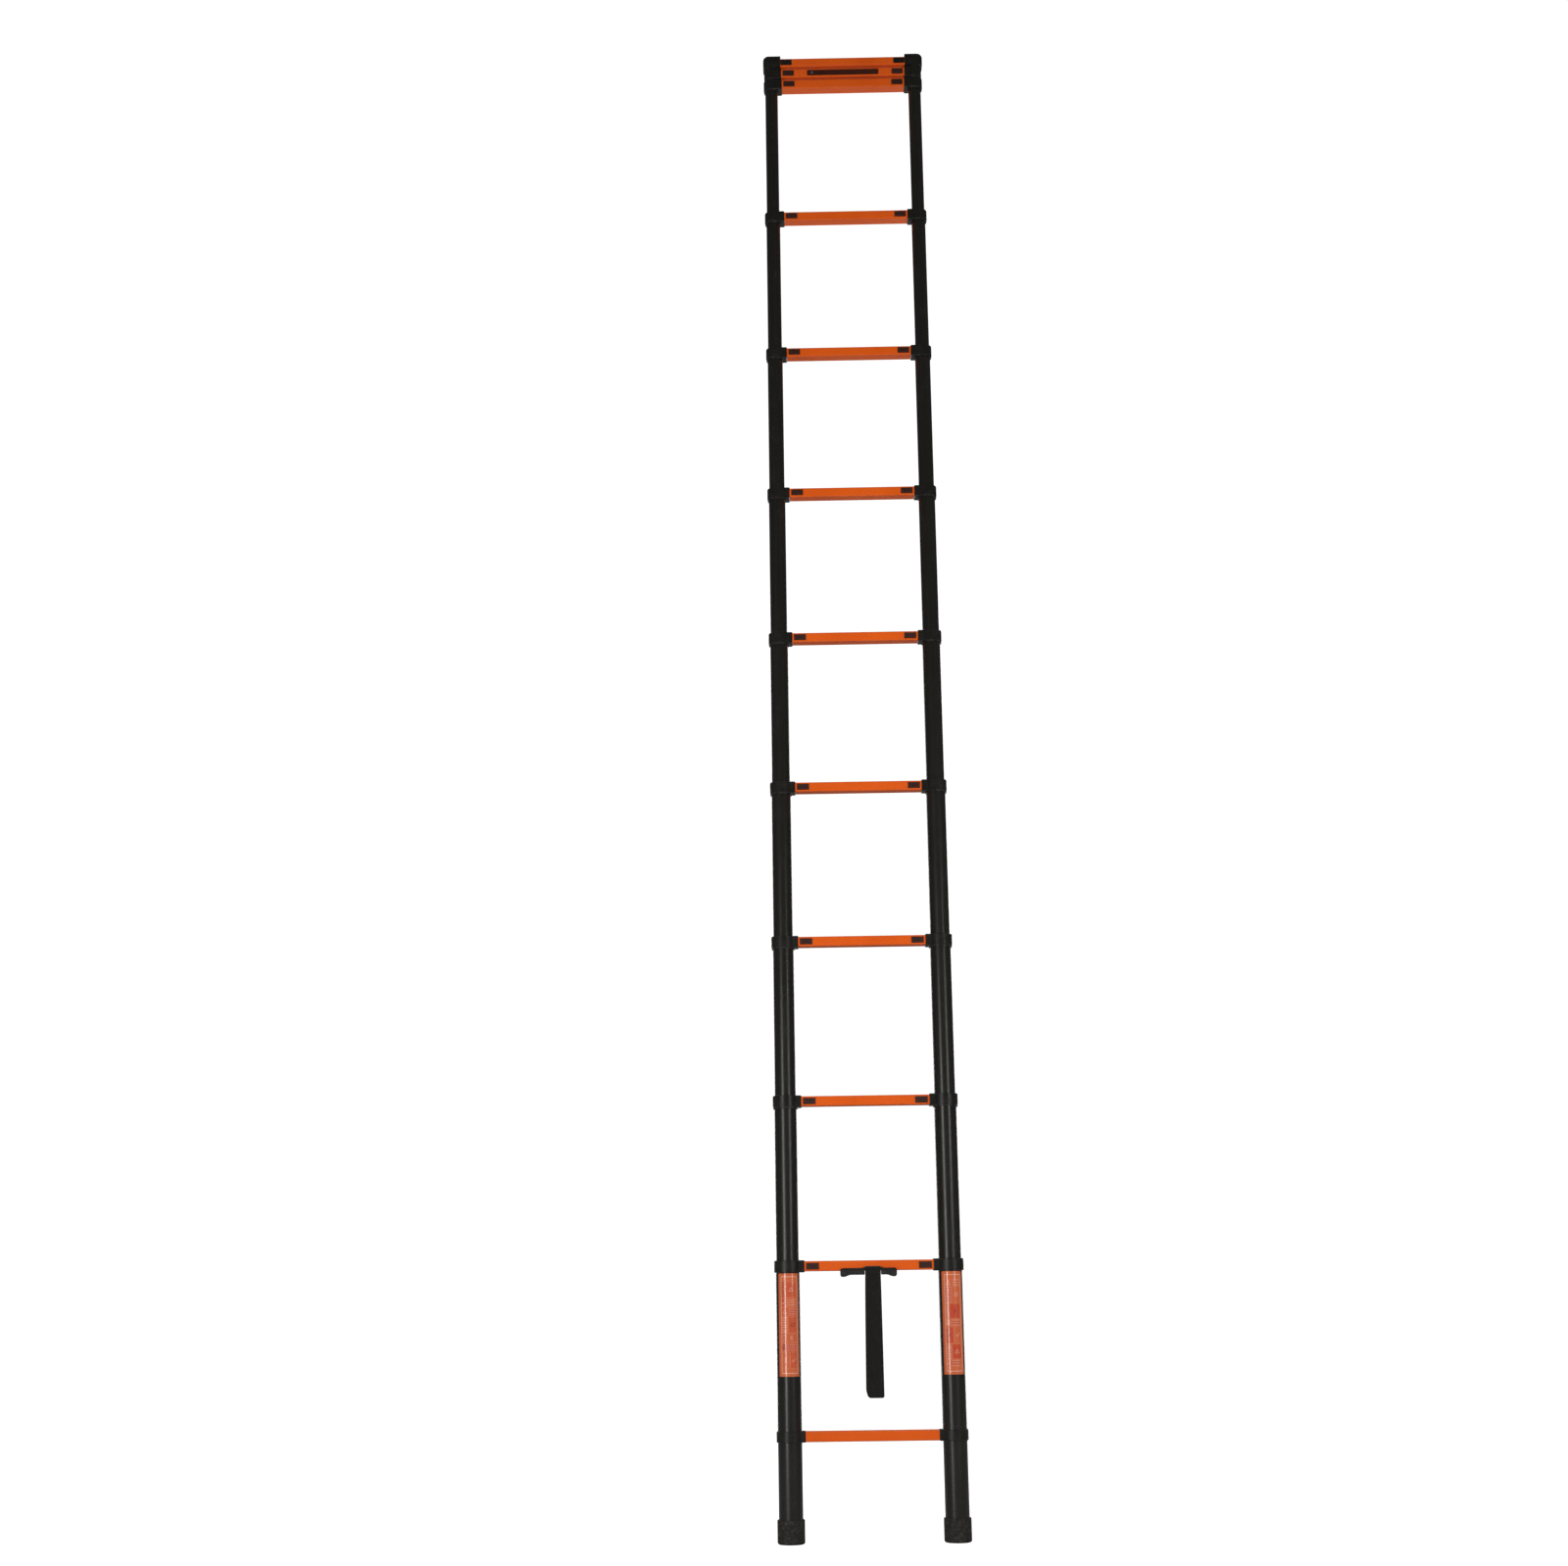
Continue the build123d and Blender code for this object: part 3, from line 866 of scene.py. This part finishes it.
# %% Grip
grip_low, grip_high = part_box("strap_grip")
NOTCH_CLEARANCE = 0.8 * MM
LOBE_LENGTH = 18 * MM
LOBE_DEPTH = 4.6 * MM
OUTER_ROUNDING = 6.0 * MM
INNER_ROUNDING = 1.6 * MM
SQUARENESS = 3.4
WAIST_RADIUS = 4.0 * MM
WAIST_OVERLAP = 4 * MM
notch_left = strap_low.x - NOTCH_CLEARANCE
notch_right = strap_high.x + NOTCH_CLEARANCE


def grip_half(start, end, outer_end, count=90, around=48):
    """One side of the grip from x = start to x = end, as rings.

    A section is a superellipse, |y/a|^n + |z/b|^n = 1 with n the squareness, between the
    straight top edge and the lower edge, which drops along a raised cosine into a lobe that
    stops the hand. Near both ends the section shrinks along a quarter circle.
    """
    share = 0.5 - 0.5 * np.cos(np.linspace(0, np.pi, count))
    x = start + (end - start) * share
    inner_end = start + end - outer_end
    inward = 1 if inner_end > outer_end else -1
    lobe = np.clip((x - outer_end) * inward / LOBE_LENGTH - 0.45, 0, 1)
    bottom = grip_low.z + LOBE_DEPTH * (0.5 - 0.5 * np.cos(np.pi * lobe))
    top = np.full(count, grip_high.z - 2.0 * MM)
    for place, radius in ((outer_end, OUTER_ROUNDING), (inner_end, INNER_ROUNDING)):
        near = np.clip(1 - np.abs(x - place) / radius, 0, 1)
        shrink = 1 - np.sqrt(np.clip(1 - near**2, 0.0, 1))
        middle_z = (top + bottom) / 2
        pull = radius * 0.9 * shrink
        top, bottom = np.maximum(top - pull, middle_z), np.minimum(bottom + pull, middle_z)
    angle = circle(around)
    c, s = np.cos(angle), np.sin(angle)
    power = 2 / SQUARENESS
    round_y = np.sign(c) * np.abs(c) ** power
    round_z = np.sign(s) * np.abs(s) ** power
    half_deep = (grip_high.y - grip_low.y) / 2
    ends = np.clip(np.minimum(x - min(start, end), max(start, end) - x) / (3 * MM), 0, 1)
    deep = half_deep * (0.82 + 0.18 * np.sqrt(ends))
    centre_y = grip_high.y - deep
    ring_y = centre_y[:, None] + deep[:, None] * round_y
    ring_z = ((top + bottom) / 2)[:, None] + ((top - bottom) / 2)[:, None] * round_z
    ring_x = np.repeat(x[:, None], around, axis=1)
    return closed_skins(np.stack([ring_x, ring_y, ring_z], axis=-1)[None])


def waist_bar(start, end, radius, around=32):
    """The round bar that the webbing is folded over."""
    x = np.linspace(start, end, 12)
    angle = circle(around)
    ring_x = np.repeat(x[:, None], around, axis=1)
    ring_y = np.tile(strap_pivot[1] + radius * np.cos(angle), (len(x), 1))
    ring_z = np.tile(strap_pivot[2] + radius * np.sin(angle), (len(x), 1))
    return closed_skins(np.stack([ring_x, ring_y, ring_z], axis=-1)[None])


def make_grip():
    """Both halves and the waist as one piece."""
    parts = [
        grip_half(grip_low.x, notch_left, grip_low.x),
        grip_half(notch_right, grip_high.x, grip_high.x),
        waist_bar(notch_left - WAIST_OVERLAP, notch_right + WAIST_OVERLAP, WAIST_RADIUS),
    ]
    points, faces = join_parts(parts)
    return seal(make_piece("grip_moulding", points, faces, grip_finish))


grip = make_grip()
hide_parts("strap_grip")
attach(grip, "section_01")
print("grip has", len(grip.data.polygons), "faces")

# %% [markdown]
# ## The printed labels
#
# Each label is a thin film bent round the front of a tube. Its print is worked out as a
# function of the place on the flat film, in millimetres, and stored on the mesh as a
# colour, so it follows the bend. It holds only plain signs: framed boxes with a ladder, a
# triangle, a ring, a tick or a few plain lines, and no lettering.

# %% Label artwork
label_low, label_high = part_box("rail_labels")
label_height = (label_high.z - label_low.z) / MM
LABEL_START = math.radians(-141.0)
LABEL_SWEEP = math.radians(109.0)
label_radius = tube_radius + 0.3 * MM
label_width = label_radius / MM * LABEL_SWEEP
LABEL_STEP = 0.75
INK_EDGE = 0.8 * LABEL_STEP
LINE_SPACING = 5.5
LINE_HALF_LENGTH = 11
STROKE = 1.1
FRAME_SHIFT = 1.5
FRAME_INSET = (7.5, 8)
FRAME_HALF_WIDTH = 0.6
PANEL_ROWS = 7
PANEL_MARGIN = (8, 18)
PANEL_GAP = (1.2, 1.5)
PANEL_LINE = 0.3
WHITE_INK = 0.45
DARK_INK = 0.9
CORNER_RADIUS = 2.5
print("label film", round(label_width, 1), "by", round(label_height, 1), "mm")


def box_distance(u, v, centre_u, centre_v, half_u, half_v):
    """Signed distance to a rectangle, below 0 inside."""
    du, dv = np.abs(u - centre_u) - half_u, np.abs(v - centre_v) - half_v
    return np.maximum(du, dv)


def line_distance(u, v, a, b):
    """Distance to the straight stretch from a to b."""
    au, av = a
    du, dv = b[0] - au, b[1] - av
    t = np.clip(((u - au) * du + (v - av) * dv) / (du * du + dv * dv), 0, 1)
    return np.hypot(u - au - t * du, v - av - t * dv)


def sign_ink(kind, u, v):
    """Signed distance in mm to one small sign round (0, 0), below 0 in its ink: a ladder, a
    triangle, a struck ring, a tick, or a block of lines.
    """
    if kind == 0:
        sides = [((-2, -5), (-1, 5)), ((2.5, -5), (1.5, 5))]
        rungs = [((-1.8, z), (2.2, z)) for z in (-3.2, -1, 1.2, 3.4)]
        return np.min([line_distance(u, v, a, b) for a, b in sides + rungs], axis=0) - 0.7
    if kind == 1:
        corners = [(-5, -4), (5, -4), (0, 4.5)]
        edges = zip(corners, corners[1:] + corners[:1])
        return np.min([line_distance(u, v, a, b) for a, b in edges], axis=0) - 1.0
    if kind == 2:
        ring = np.abs(np.hypot(u, v) - 4.6) - 0.9
        return np.minimum(ring, line_distance(u, v, (-3.2, -3.2), (3.2, 3.2)) - 0.9)
    if kind == 3:
        tick = [line_distance(u, v, (-4, 0), (-1, -3.4)), line_distance(u, v, (-1, -3.4), (4.5, 4))]
        return np.minimum(*tick) - STROKE
    lines = np.abs((v + LINE_SPACING / 2) % LINE_SPACING - LINE_SPACING / 2) - STROKE
    return np.maximum(lines, np.abs(u) - LINE_HALF_LENGTH)


def label_print(u, v, first_sign):
    """White ink, dark ink and red tint, each from 0 to 1, at (u, v) mm from the film's
    lower left corner. The panels are rows whose heights follow a cosine, split in two at a
    place that follows another.
    """
    half_u, half_v = label_width / 2, label_height / 2
    frame_u, frame_v = half_u - FRAME_INSET[0], half_v - FRAME_INSET[1]
    border = np.abs(box_distance(u, v, half_u + FRAME_SHIFT, half_v, frame_u, frame_v))
    white = np.clip((FRAME_HALF_WIDTH - border) / INK_EDGE + 0.5, 0, 1)
    dark, tint = np.zeros_like(u), np.zeros_like(u)
    row_number = np.arange(PANEL_ROWS)
    weight = 1 + 0.45 * np.cos(row_number * 2.1 + first_sign)
    side_margin, end_margin = PANEL_MARGIN
    share = np.concatenate([[0], np.cumsum(weight)]) / weight.sum()
    edges = end_margin + (label_height - 2 * end_margin) * share
    split = label_width * (0.42 + 0.1 * np.cos(row_number * 1.7 + first_sign))
    for row in row_number:
        centre_v = (edges[row] + edges[row + 1]) / 2
        half_tall = (edges[row + 1] - edges[row]) / 2 - PANEL_GAP[1]
        columns = ((side_margin, split[row]), (split[row], label_width - side_margin))
        for column, (left, right_edge) in enumerate(columns):
            centre_u, half_wide = (left + right_edge) / 2, (right_edge - left) / 2 - PANEL_GAP[0]
            kind = (first_sign + column * 3 + row * 2) % 7
            inside = box_distance(u, v, centre_u, centre_v, half_wide, half_tall)
            fill = np.clip(-inside / INK_EDGE, 0, 1)
            outline = np.clip((PANEL_LINE - np.abs(inside)) / INK_EDGE + 0.4, 0, 1)
            white = np.maximum(white, outline * 0.3)
            shade = 0.15 + 0.3 * ((column + row + first_sign) % 3)
            tint = np.maximum(tint, fill * shade)
            sign = sign_ink(kind, u - centre_u, v - centre_v)
            mark = np.clip(0.3 - sign / INK_EDGE, 0, 1) * fill
            if (row * 2 + column + first_sign) % 5 == 2:
                dark = np.maximum(dark, mark * DARK_INK)
            else:
                white = np.maximum(white, mark * WHITE_INK)
    return white, dark, tint


def make_label(name, rail_x, first_sign):
    """A film bent round a tube: the point at angle a and height z is
    (x + r cos a, r sin a, z). Points past a corner's circle are drawn back onto it. The
    closed rim comes from a Solidify modifier.
    """
    columns = round(label_width / LABEL_STEP)
    rows = round(label_height / LABEL_STEP)
    v, u = np.meshgrid(
        np.linspace(0, label_height, rows), np.linspace(0, label_width, columns), indexing="ij"
    )
    du = np.clip(CORNER_RADIUS - np.minimum(u, label_width - u), 0, CORNER_RADIUS)
    dv = np.clip(CORNER_RADIUS - np.minimum(v, label_height - v), 0, CORNER_RADIUS)
    over = np.clip(np.hypot(du, dv) / CORNER_RADIUS, 1, None)
    u_in, v_in = CORNER_RADIUS - du / over, CORNER_RADIUS - dv / over
    u_cut = np.where(u < label_width / 2, u_in, label_width - u_in)
    v_cut = np.where(v < label_height / 2, v_in, label_height - v_in)
    u2, v2 = np.where(du * dv > 0, u_cut, u), np.where(du * dv > 0, v_cut, v)
    angle = LABEL_START + u2 * MM / label_radius
    x, y = rail_x + label_radius * np.cos(angle), label_radius * np.sin(angle)
    points = np.stack([x, y, label_low.z + v2 * MM], axis=-1).reshape(-1, 3)
    piece = make_piece(name, points, grid_faces(rows, columns), label_finish)
    white, dark, tint = label_print(u, v, first_sign)
    colours = np.stack([white, dark, tint, np.ones_like(u)], axis=-1).reshape(-1, 4)
    layer = piece.data.color_attributes.new("print", "FLOAT_COLOR", "POINT")
    layer.data.foreach_set("color", colours.astype(np.float32).ravel())
    film = piece.modifiers.new("film", "SOLIDIFY")
    film.thickness = 0.2 * MM
    film.offset = -1
    return piece


def make_label_finish():
    """Clear-coated orange-red film: the print's three channels mix white ink, dark ink and
    a red tint over the base.
    """
    fixed = {"Coat_Weight": 0.9, "Coat_Roughness": 0.06, "Roughness": 0.35}
    material, tree, shader = start_material("label_film_finish", **fixed)
    stored = add_node(tree, "ShaderNodeVertexColor", layer_name="print").outputs["Color"]
    channels = add_node(tree, "ShaderNodeSeparateColor", {0: stored}).outputs
    grain = use_group(tree, grain_group, {"Fineness": 1600.0, "Mottle Size": 30.0})
    base = mix_colour(tree, grain["Mottle"], (0.60, 0.120, 0.036, 1), (0.66, 0.140, 0.044, 1))
    tinted = mix_colour(tree, channels[2], base, (0.54, 0.044, 0.014, 1))
    inked = mix_colour(tree, channels[0], tinted, (0.84, 0.50, 0.36, 1))
    inked = mix_colour(tree, channels[1], inked, (0.27, 0.022, 0.010, 1))
    scuffs = add_scuffs(tree, inked, (0.65, 0.25, 0.15), 0.3, 25.0)
    feed(tree, shader.inputs, {"Base Color": scuffs["Colour"]})
    add_bump(tree, shader, grain["Height"], 0.02 * MM, 0.25)
    return material


label_finish = make_label_finish()
labels = [make_label("label_left", -rail_offset, 0), make_label("label_right", rail_offset, 3)]
for piece in labels:
    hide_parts("rail_labels")
    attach(piece, "section_01")
print("labels", [piece.name for piece in labels])

# %% [markdown]
# ## Thumb ridges on the latches
#
# A thumb needs something to push against, so each pad has seven low ridges. A moulder would
# cut them into the pad; here they are separate round bars that taper to their ends and are
# sunk halfway into its face, which looks the same and leaves the pad's own mesh alone.

# %% Latch ridges
PAD_LENGTH = 31 * MM
RIDGE_COUNT = 7
RIDGE_SPREAD = 9 * MM
RIDGE_HALF_LENGTH = 5.0 * MM
RIDGE_HALF_WIDTH = 0.75 * MM
RIDGE_RISE = 0.7 * MM
RIDGE_SINK = 0.1 * MM


def latch_frame(latch):
    """A latch's side (-1 left, 1 right), the X of its pad's inner edge, the Y of its face
    and the height of its middle.
    """
    low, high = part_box(latch)
    side = 1 if middle(latch)[0] > 0 else -1
    return side, low.x if side > 0 else high.x, low.y, (low.z + high.z) / 2


def make_ridges(name, latch):
    """Bars across the thumb's way: ellipse sections whose size follows (1 - s^4)^(1/2),
    where s runs from -1 to 1 along the bar.
    """
    side, inner_edge, face, level = latch_frame(latch)
    angle = circle(12)
    share = np.linspace(-1, 1, 13)
    size = np.sqrt(np.clip(1 - share**4, 0.0004, 1))[None, :, None]
    place = np.linspace(-RIDGE_SPREAD, RIDGE_SPREAD, RIDGE_COUNT)[:, None, None]
    ring_x = inner_edge + side * PAD_LENGTH / 2 + place + size * RIDGE_HALF_WIDTH * np.cos(angle)
    ring_y = face + RIDGE_SINK - size * RIDGE_RISE * np.sin(angle) + 0 * place
    ring_z = level + share[None, :, None] * RIDGE_HALF_LENGTH + 0 * ring_x
    return skin_piece(name, np.stack([ring_x, ring_y, ring_z], axis=-1), latch_finish)


# %% [markdown]
# ## Latch springs
#
# Inside each rung end a small compression spring pushes the pin towards its hole. A screw
# modifier could turn a circle into one, but its end turns would stay open, so it is a wire
# carried along a helix whose pitch closes up in the first and last turn.

# %% Springs
SPRING_TURNS = 9
COIL_RADIUS = 4.6 * MM
WIRE_RADIUS = 0.45 * MM
SPRING_LENGTH = 22 * MM
SPRING_INSET = 3.2 * MM


def make_spring(name, latch):
    """A wire tube along a helix about the pin's axis. The first and last turn each advance
    by one wire's thickness, and the turns between share the rest of the length.
    """
    side, inner_edge, _, level = latch_frame(latch)
    turn_number = np.linspace(0, 1, SPRING_TURNS * 14) * SPRING_TURNS
    middle_turns = np.clip((turn_number - 1) / (SPRING_TURNS - 2), 0, 1)
    end_turns = np.clip(turn_number, 0, 1) + np.clip(turn_number - SPRING_TURNS + 1, 0, 1)
    advance = middle_turns * (SPRING_LENGTH - 4 * WIRE_RADIUS) + end_turns * 2 * WIRE_RADIUS
    angle = 2 * np.pi * turn_number
    outward = np.stack([np.zeros_like(angle), np.cos(angle), np.sin(angle)], axis=1)
    centre = COIL_RADIUS * outward
    centre[:, 0] = inner_edge + side * (SPRING_INSET - advance)
    centre[:, 2] += level
    tangent = np.gradient(centre, axis=0)
    tangent /= np.linalg.norm(tangent, axis=1, keepdims=True)
    sideways = np.cross(tangent, outward)
    around = circle(6)[None, :, None]
    rings = np.cos(around) * outward[:, None] + np.sin(around) * sideways[:, None]
    return skin_piece(name, (centre[:, None] + WIRE_RADIUS * rings)[None], zinc_finish)


latches = sorted(name for name in nodes if name.startswith("latch_"))
for latch in latches:
    ridges = make_ridges(latch.replace("latch", "ridges"), latch)
    spring = make_spring(latch.replace("latch", "spring"), latch)
    for piece in (ridges, spring):
        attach(piece, latch)
print("ridges and springs on", len(latches), "latches")

# %% [markdown]
# ## The screw of the handle strip
#
# One small pan-head screw shows at the left end of the dark strip. A head is a dome on a
# polar grid with a cross pressed into it, so its height simply falls along two crossed slots.

# %% Screw
SCREW_RADIUS = 3.4 * MM
SCREW_INSET = 14 * MM
SCREW_SINK = 0.1 * MM
SKIRT_DEPTH = 0.2 * MM
SLOT_HALF_WIDTH = 0.14
SLOT_REACH = 0.62
CROSS_TURN = 0.5


def make_screw(name, x, y, z, radius):
    """A pan head facing -Y: height h(r) = 0.62 R (1 - (r/R)^4)^(1/2), less a cross whose
    depth fades out towards its reach.
    """
    share = np.linspace(0.02, 1, 26)
    angle = circle(48)
    r, a = np.meshgrid(share, angle, indexing="ij")
    height = 0.62 * radius * np.sqrt(np.clip(1 - r**4, 0, 1))
    u, v = r * np.cos(a + CROSS_TURN), r * np.sin(a + CROSS_TURN)
    inside = np.clip((SLOT_HALF_WIDTH - np.minimum(np.abs(u), np.abs(v))) / 0.06, 0, 1)
    inside = inside * np.clip((SLOT_REACH - r) / 0.08, 0, 1)
    height = height - 0.4 * radius * inside
    front = np.stack([x + radius * r * np.cos(a), y - height, z + radius * r * np.sin(a)], axis=-1)
    skirt = front[-1:].copy()
    skirt[..., 1] = y + SKIRT_DEPTH
    return skin_piece(name, np.concatenate([front, skirt])[None], zinc_finish)


insert_low, insert_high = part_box("handle_insert")
screw_x, screw_y = insert_low.x + SCREW_INSET, insert_low.y + SCREW_SINK
screw_z = (insert_low.z + insert_high.z) / 2
screw = make_screw("handle_screw", screw_x, screw_y, screw_z, SCREW_RADIUS)
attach(screw, "section_10")
print("screw at", round(screw_x, 4), "with", len(screw.data.polygons), "faces")

# %% [markdown]
# ## Floor and light
#
# The ladder stands in a white room with no visible edge. Two tall narrow soft boxes, one
# each side of the camera, draw the two thin highlights on the lower tubes, and they end at
# shoulder height, so the upper tubes stay dark. The wide boxes in front, behind and at the
# sides would add a streak each, so they are hidden from reflections and only brighten the
# rungs. Two more strips behind draw the same two highlights on the back.

# %% Stage
FLOOR_HALF = 14.0
FLOOR_DROP = 0.5 * MM
FLOOR_GREY = (0.35, 0.35, 0.35, 1)
WHITE = (1, 1, 1, 1)
WORLD_ON_MATT = 0.17
WORLD_MIRRORED = 0.07


def make_floor():
    """A flat square just under the feet. It glows white for the camera alone, and throws
    back about a third of the light that reaches it.
    """
    points = np.array([[-1, -1, 0], [1, -1, 0], [1, 1, 0], [-1, 1, 0]]) * FLOOR_HALF
    points[:, 2] = -FLOOR_DROP
    fixed = {"Roughness": 0.9, "Base_Color": FLOOR_GREY, "Emission_Color": WHITE}
    material, tree, shader = start_material("white_floor", **fixed)
    seen = tree.nodes.new("ShaderNodeLightPath").outputs["Is Camera Ray"]
    feed(tree, shader.inputs, {"Emission Strength": seen})
    piece = make_piece("floor", points, np.array([[0, 1, 2, 3]]), material, smooth=False)


def make_world():
    """White for the camera, dim where it lights matt surfaces, and dimmer still in
    reflections, as between a pair of black flags.
    """
    world = bpy.data.worlds.new("white_room")
    world.use_nodes = True
    tree = world.node_tree
    background = tree.nodes["Background"]
    path = tree.nodes.new("ShaderNodeLightPath").outputs
    diffused = times(tree, path["Is Diffuse Ray"], WORLD_ON_MATT)
    seen_or_lit = math_node(tree, "ADD", path["Is Camera Ray"], diffused)
    strength = math_node(tree, "ADD", seen_or_lit, WORLD_MIRRORED)
    feed(tree, background.inputs, {"Strength": strength, "Color": WHITE})
    scene.world = world


def make_soft_box(name, place, aim, width, height, power, mirrored=True):
    """An area light at a place, turned to face a point; one that isn't mirrored lights the
    surfaces without showing in them.
    """
    data = bpy.data.lights.new(name, "AREA")
    data.shape = "RECTANGLE"
    data.size = width
    data.size_y = height
    data.energy = power
    lamp = bpy.data.objects.new(name, data)
    lamp.visible_camera = False
    lamp.visible_glossy = mirrored
    scene.collection.objects.link(lamp)
    way = np.array(place) - np.array(aim)
    way /= np.linalg.norm(way)
    side = np.cross([0, 0, 1], way)
    side /= np.linalg.norm(side)
    turned = np.column_stack([side, np.cross(way, side), way])
    lamp.matrix_world = Matrix.Translation(place) @ Matrix(turned.tolist()).to_4x4()


make_floor()
make_world()
make_soft_box("left_strip", (-1.55, -2.6, 0.80), (0, 0, 0.80), 0.50, 1.55, 20)
make_soft_box("right_strip", (1.95, -2.3, 1.2), (0, 0, 1.2), 0.45, 1.2, 9.5)
make_soft_box("camera_box", (0.3, -4.2, 2.15), (0, 0, 1.95), 2.2, 1.4, 88, mirrored=False)
make_soft_box("back_box", (0, 4.5, 2.6), (0, 0, 2.0), 2.6, 1.6, 60, mirrored=False)
for side_name, side in (("left", -1), ("right", 1)):
    make_soft_box(f"back_{side_name}_strip", (side * 1.2, 3.0, 1.7), (0, 0, 1.7), 0.5, 3.2, 22)
    make_soft_box(
        f"{side_name}_side_box", (side * 4.5, 0, 2.2), (0, 0, 2.0), 1.2, 3.0, 40, mirrored=False
    )
scene.view_settings.view_transform = "Standard"
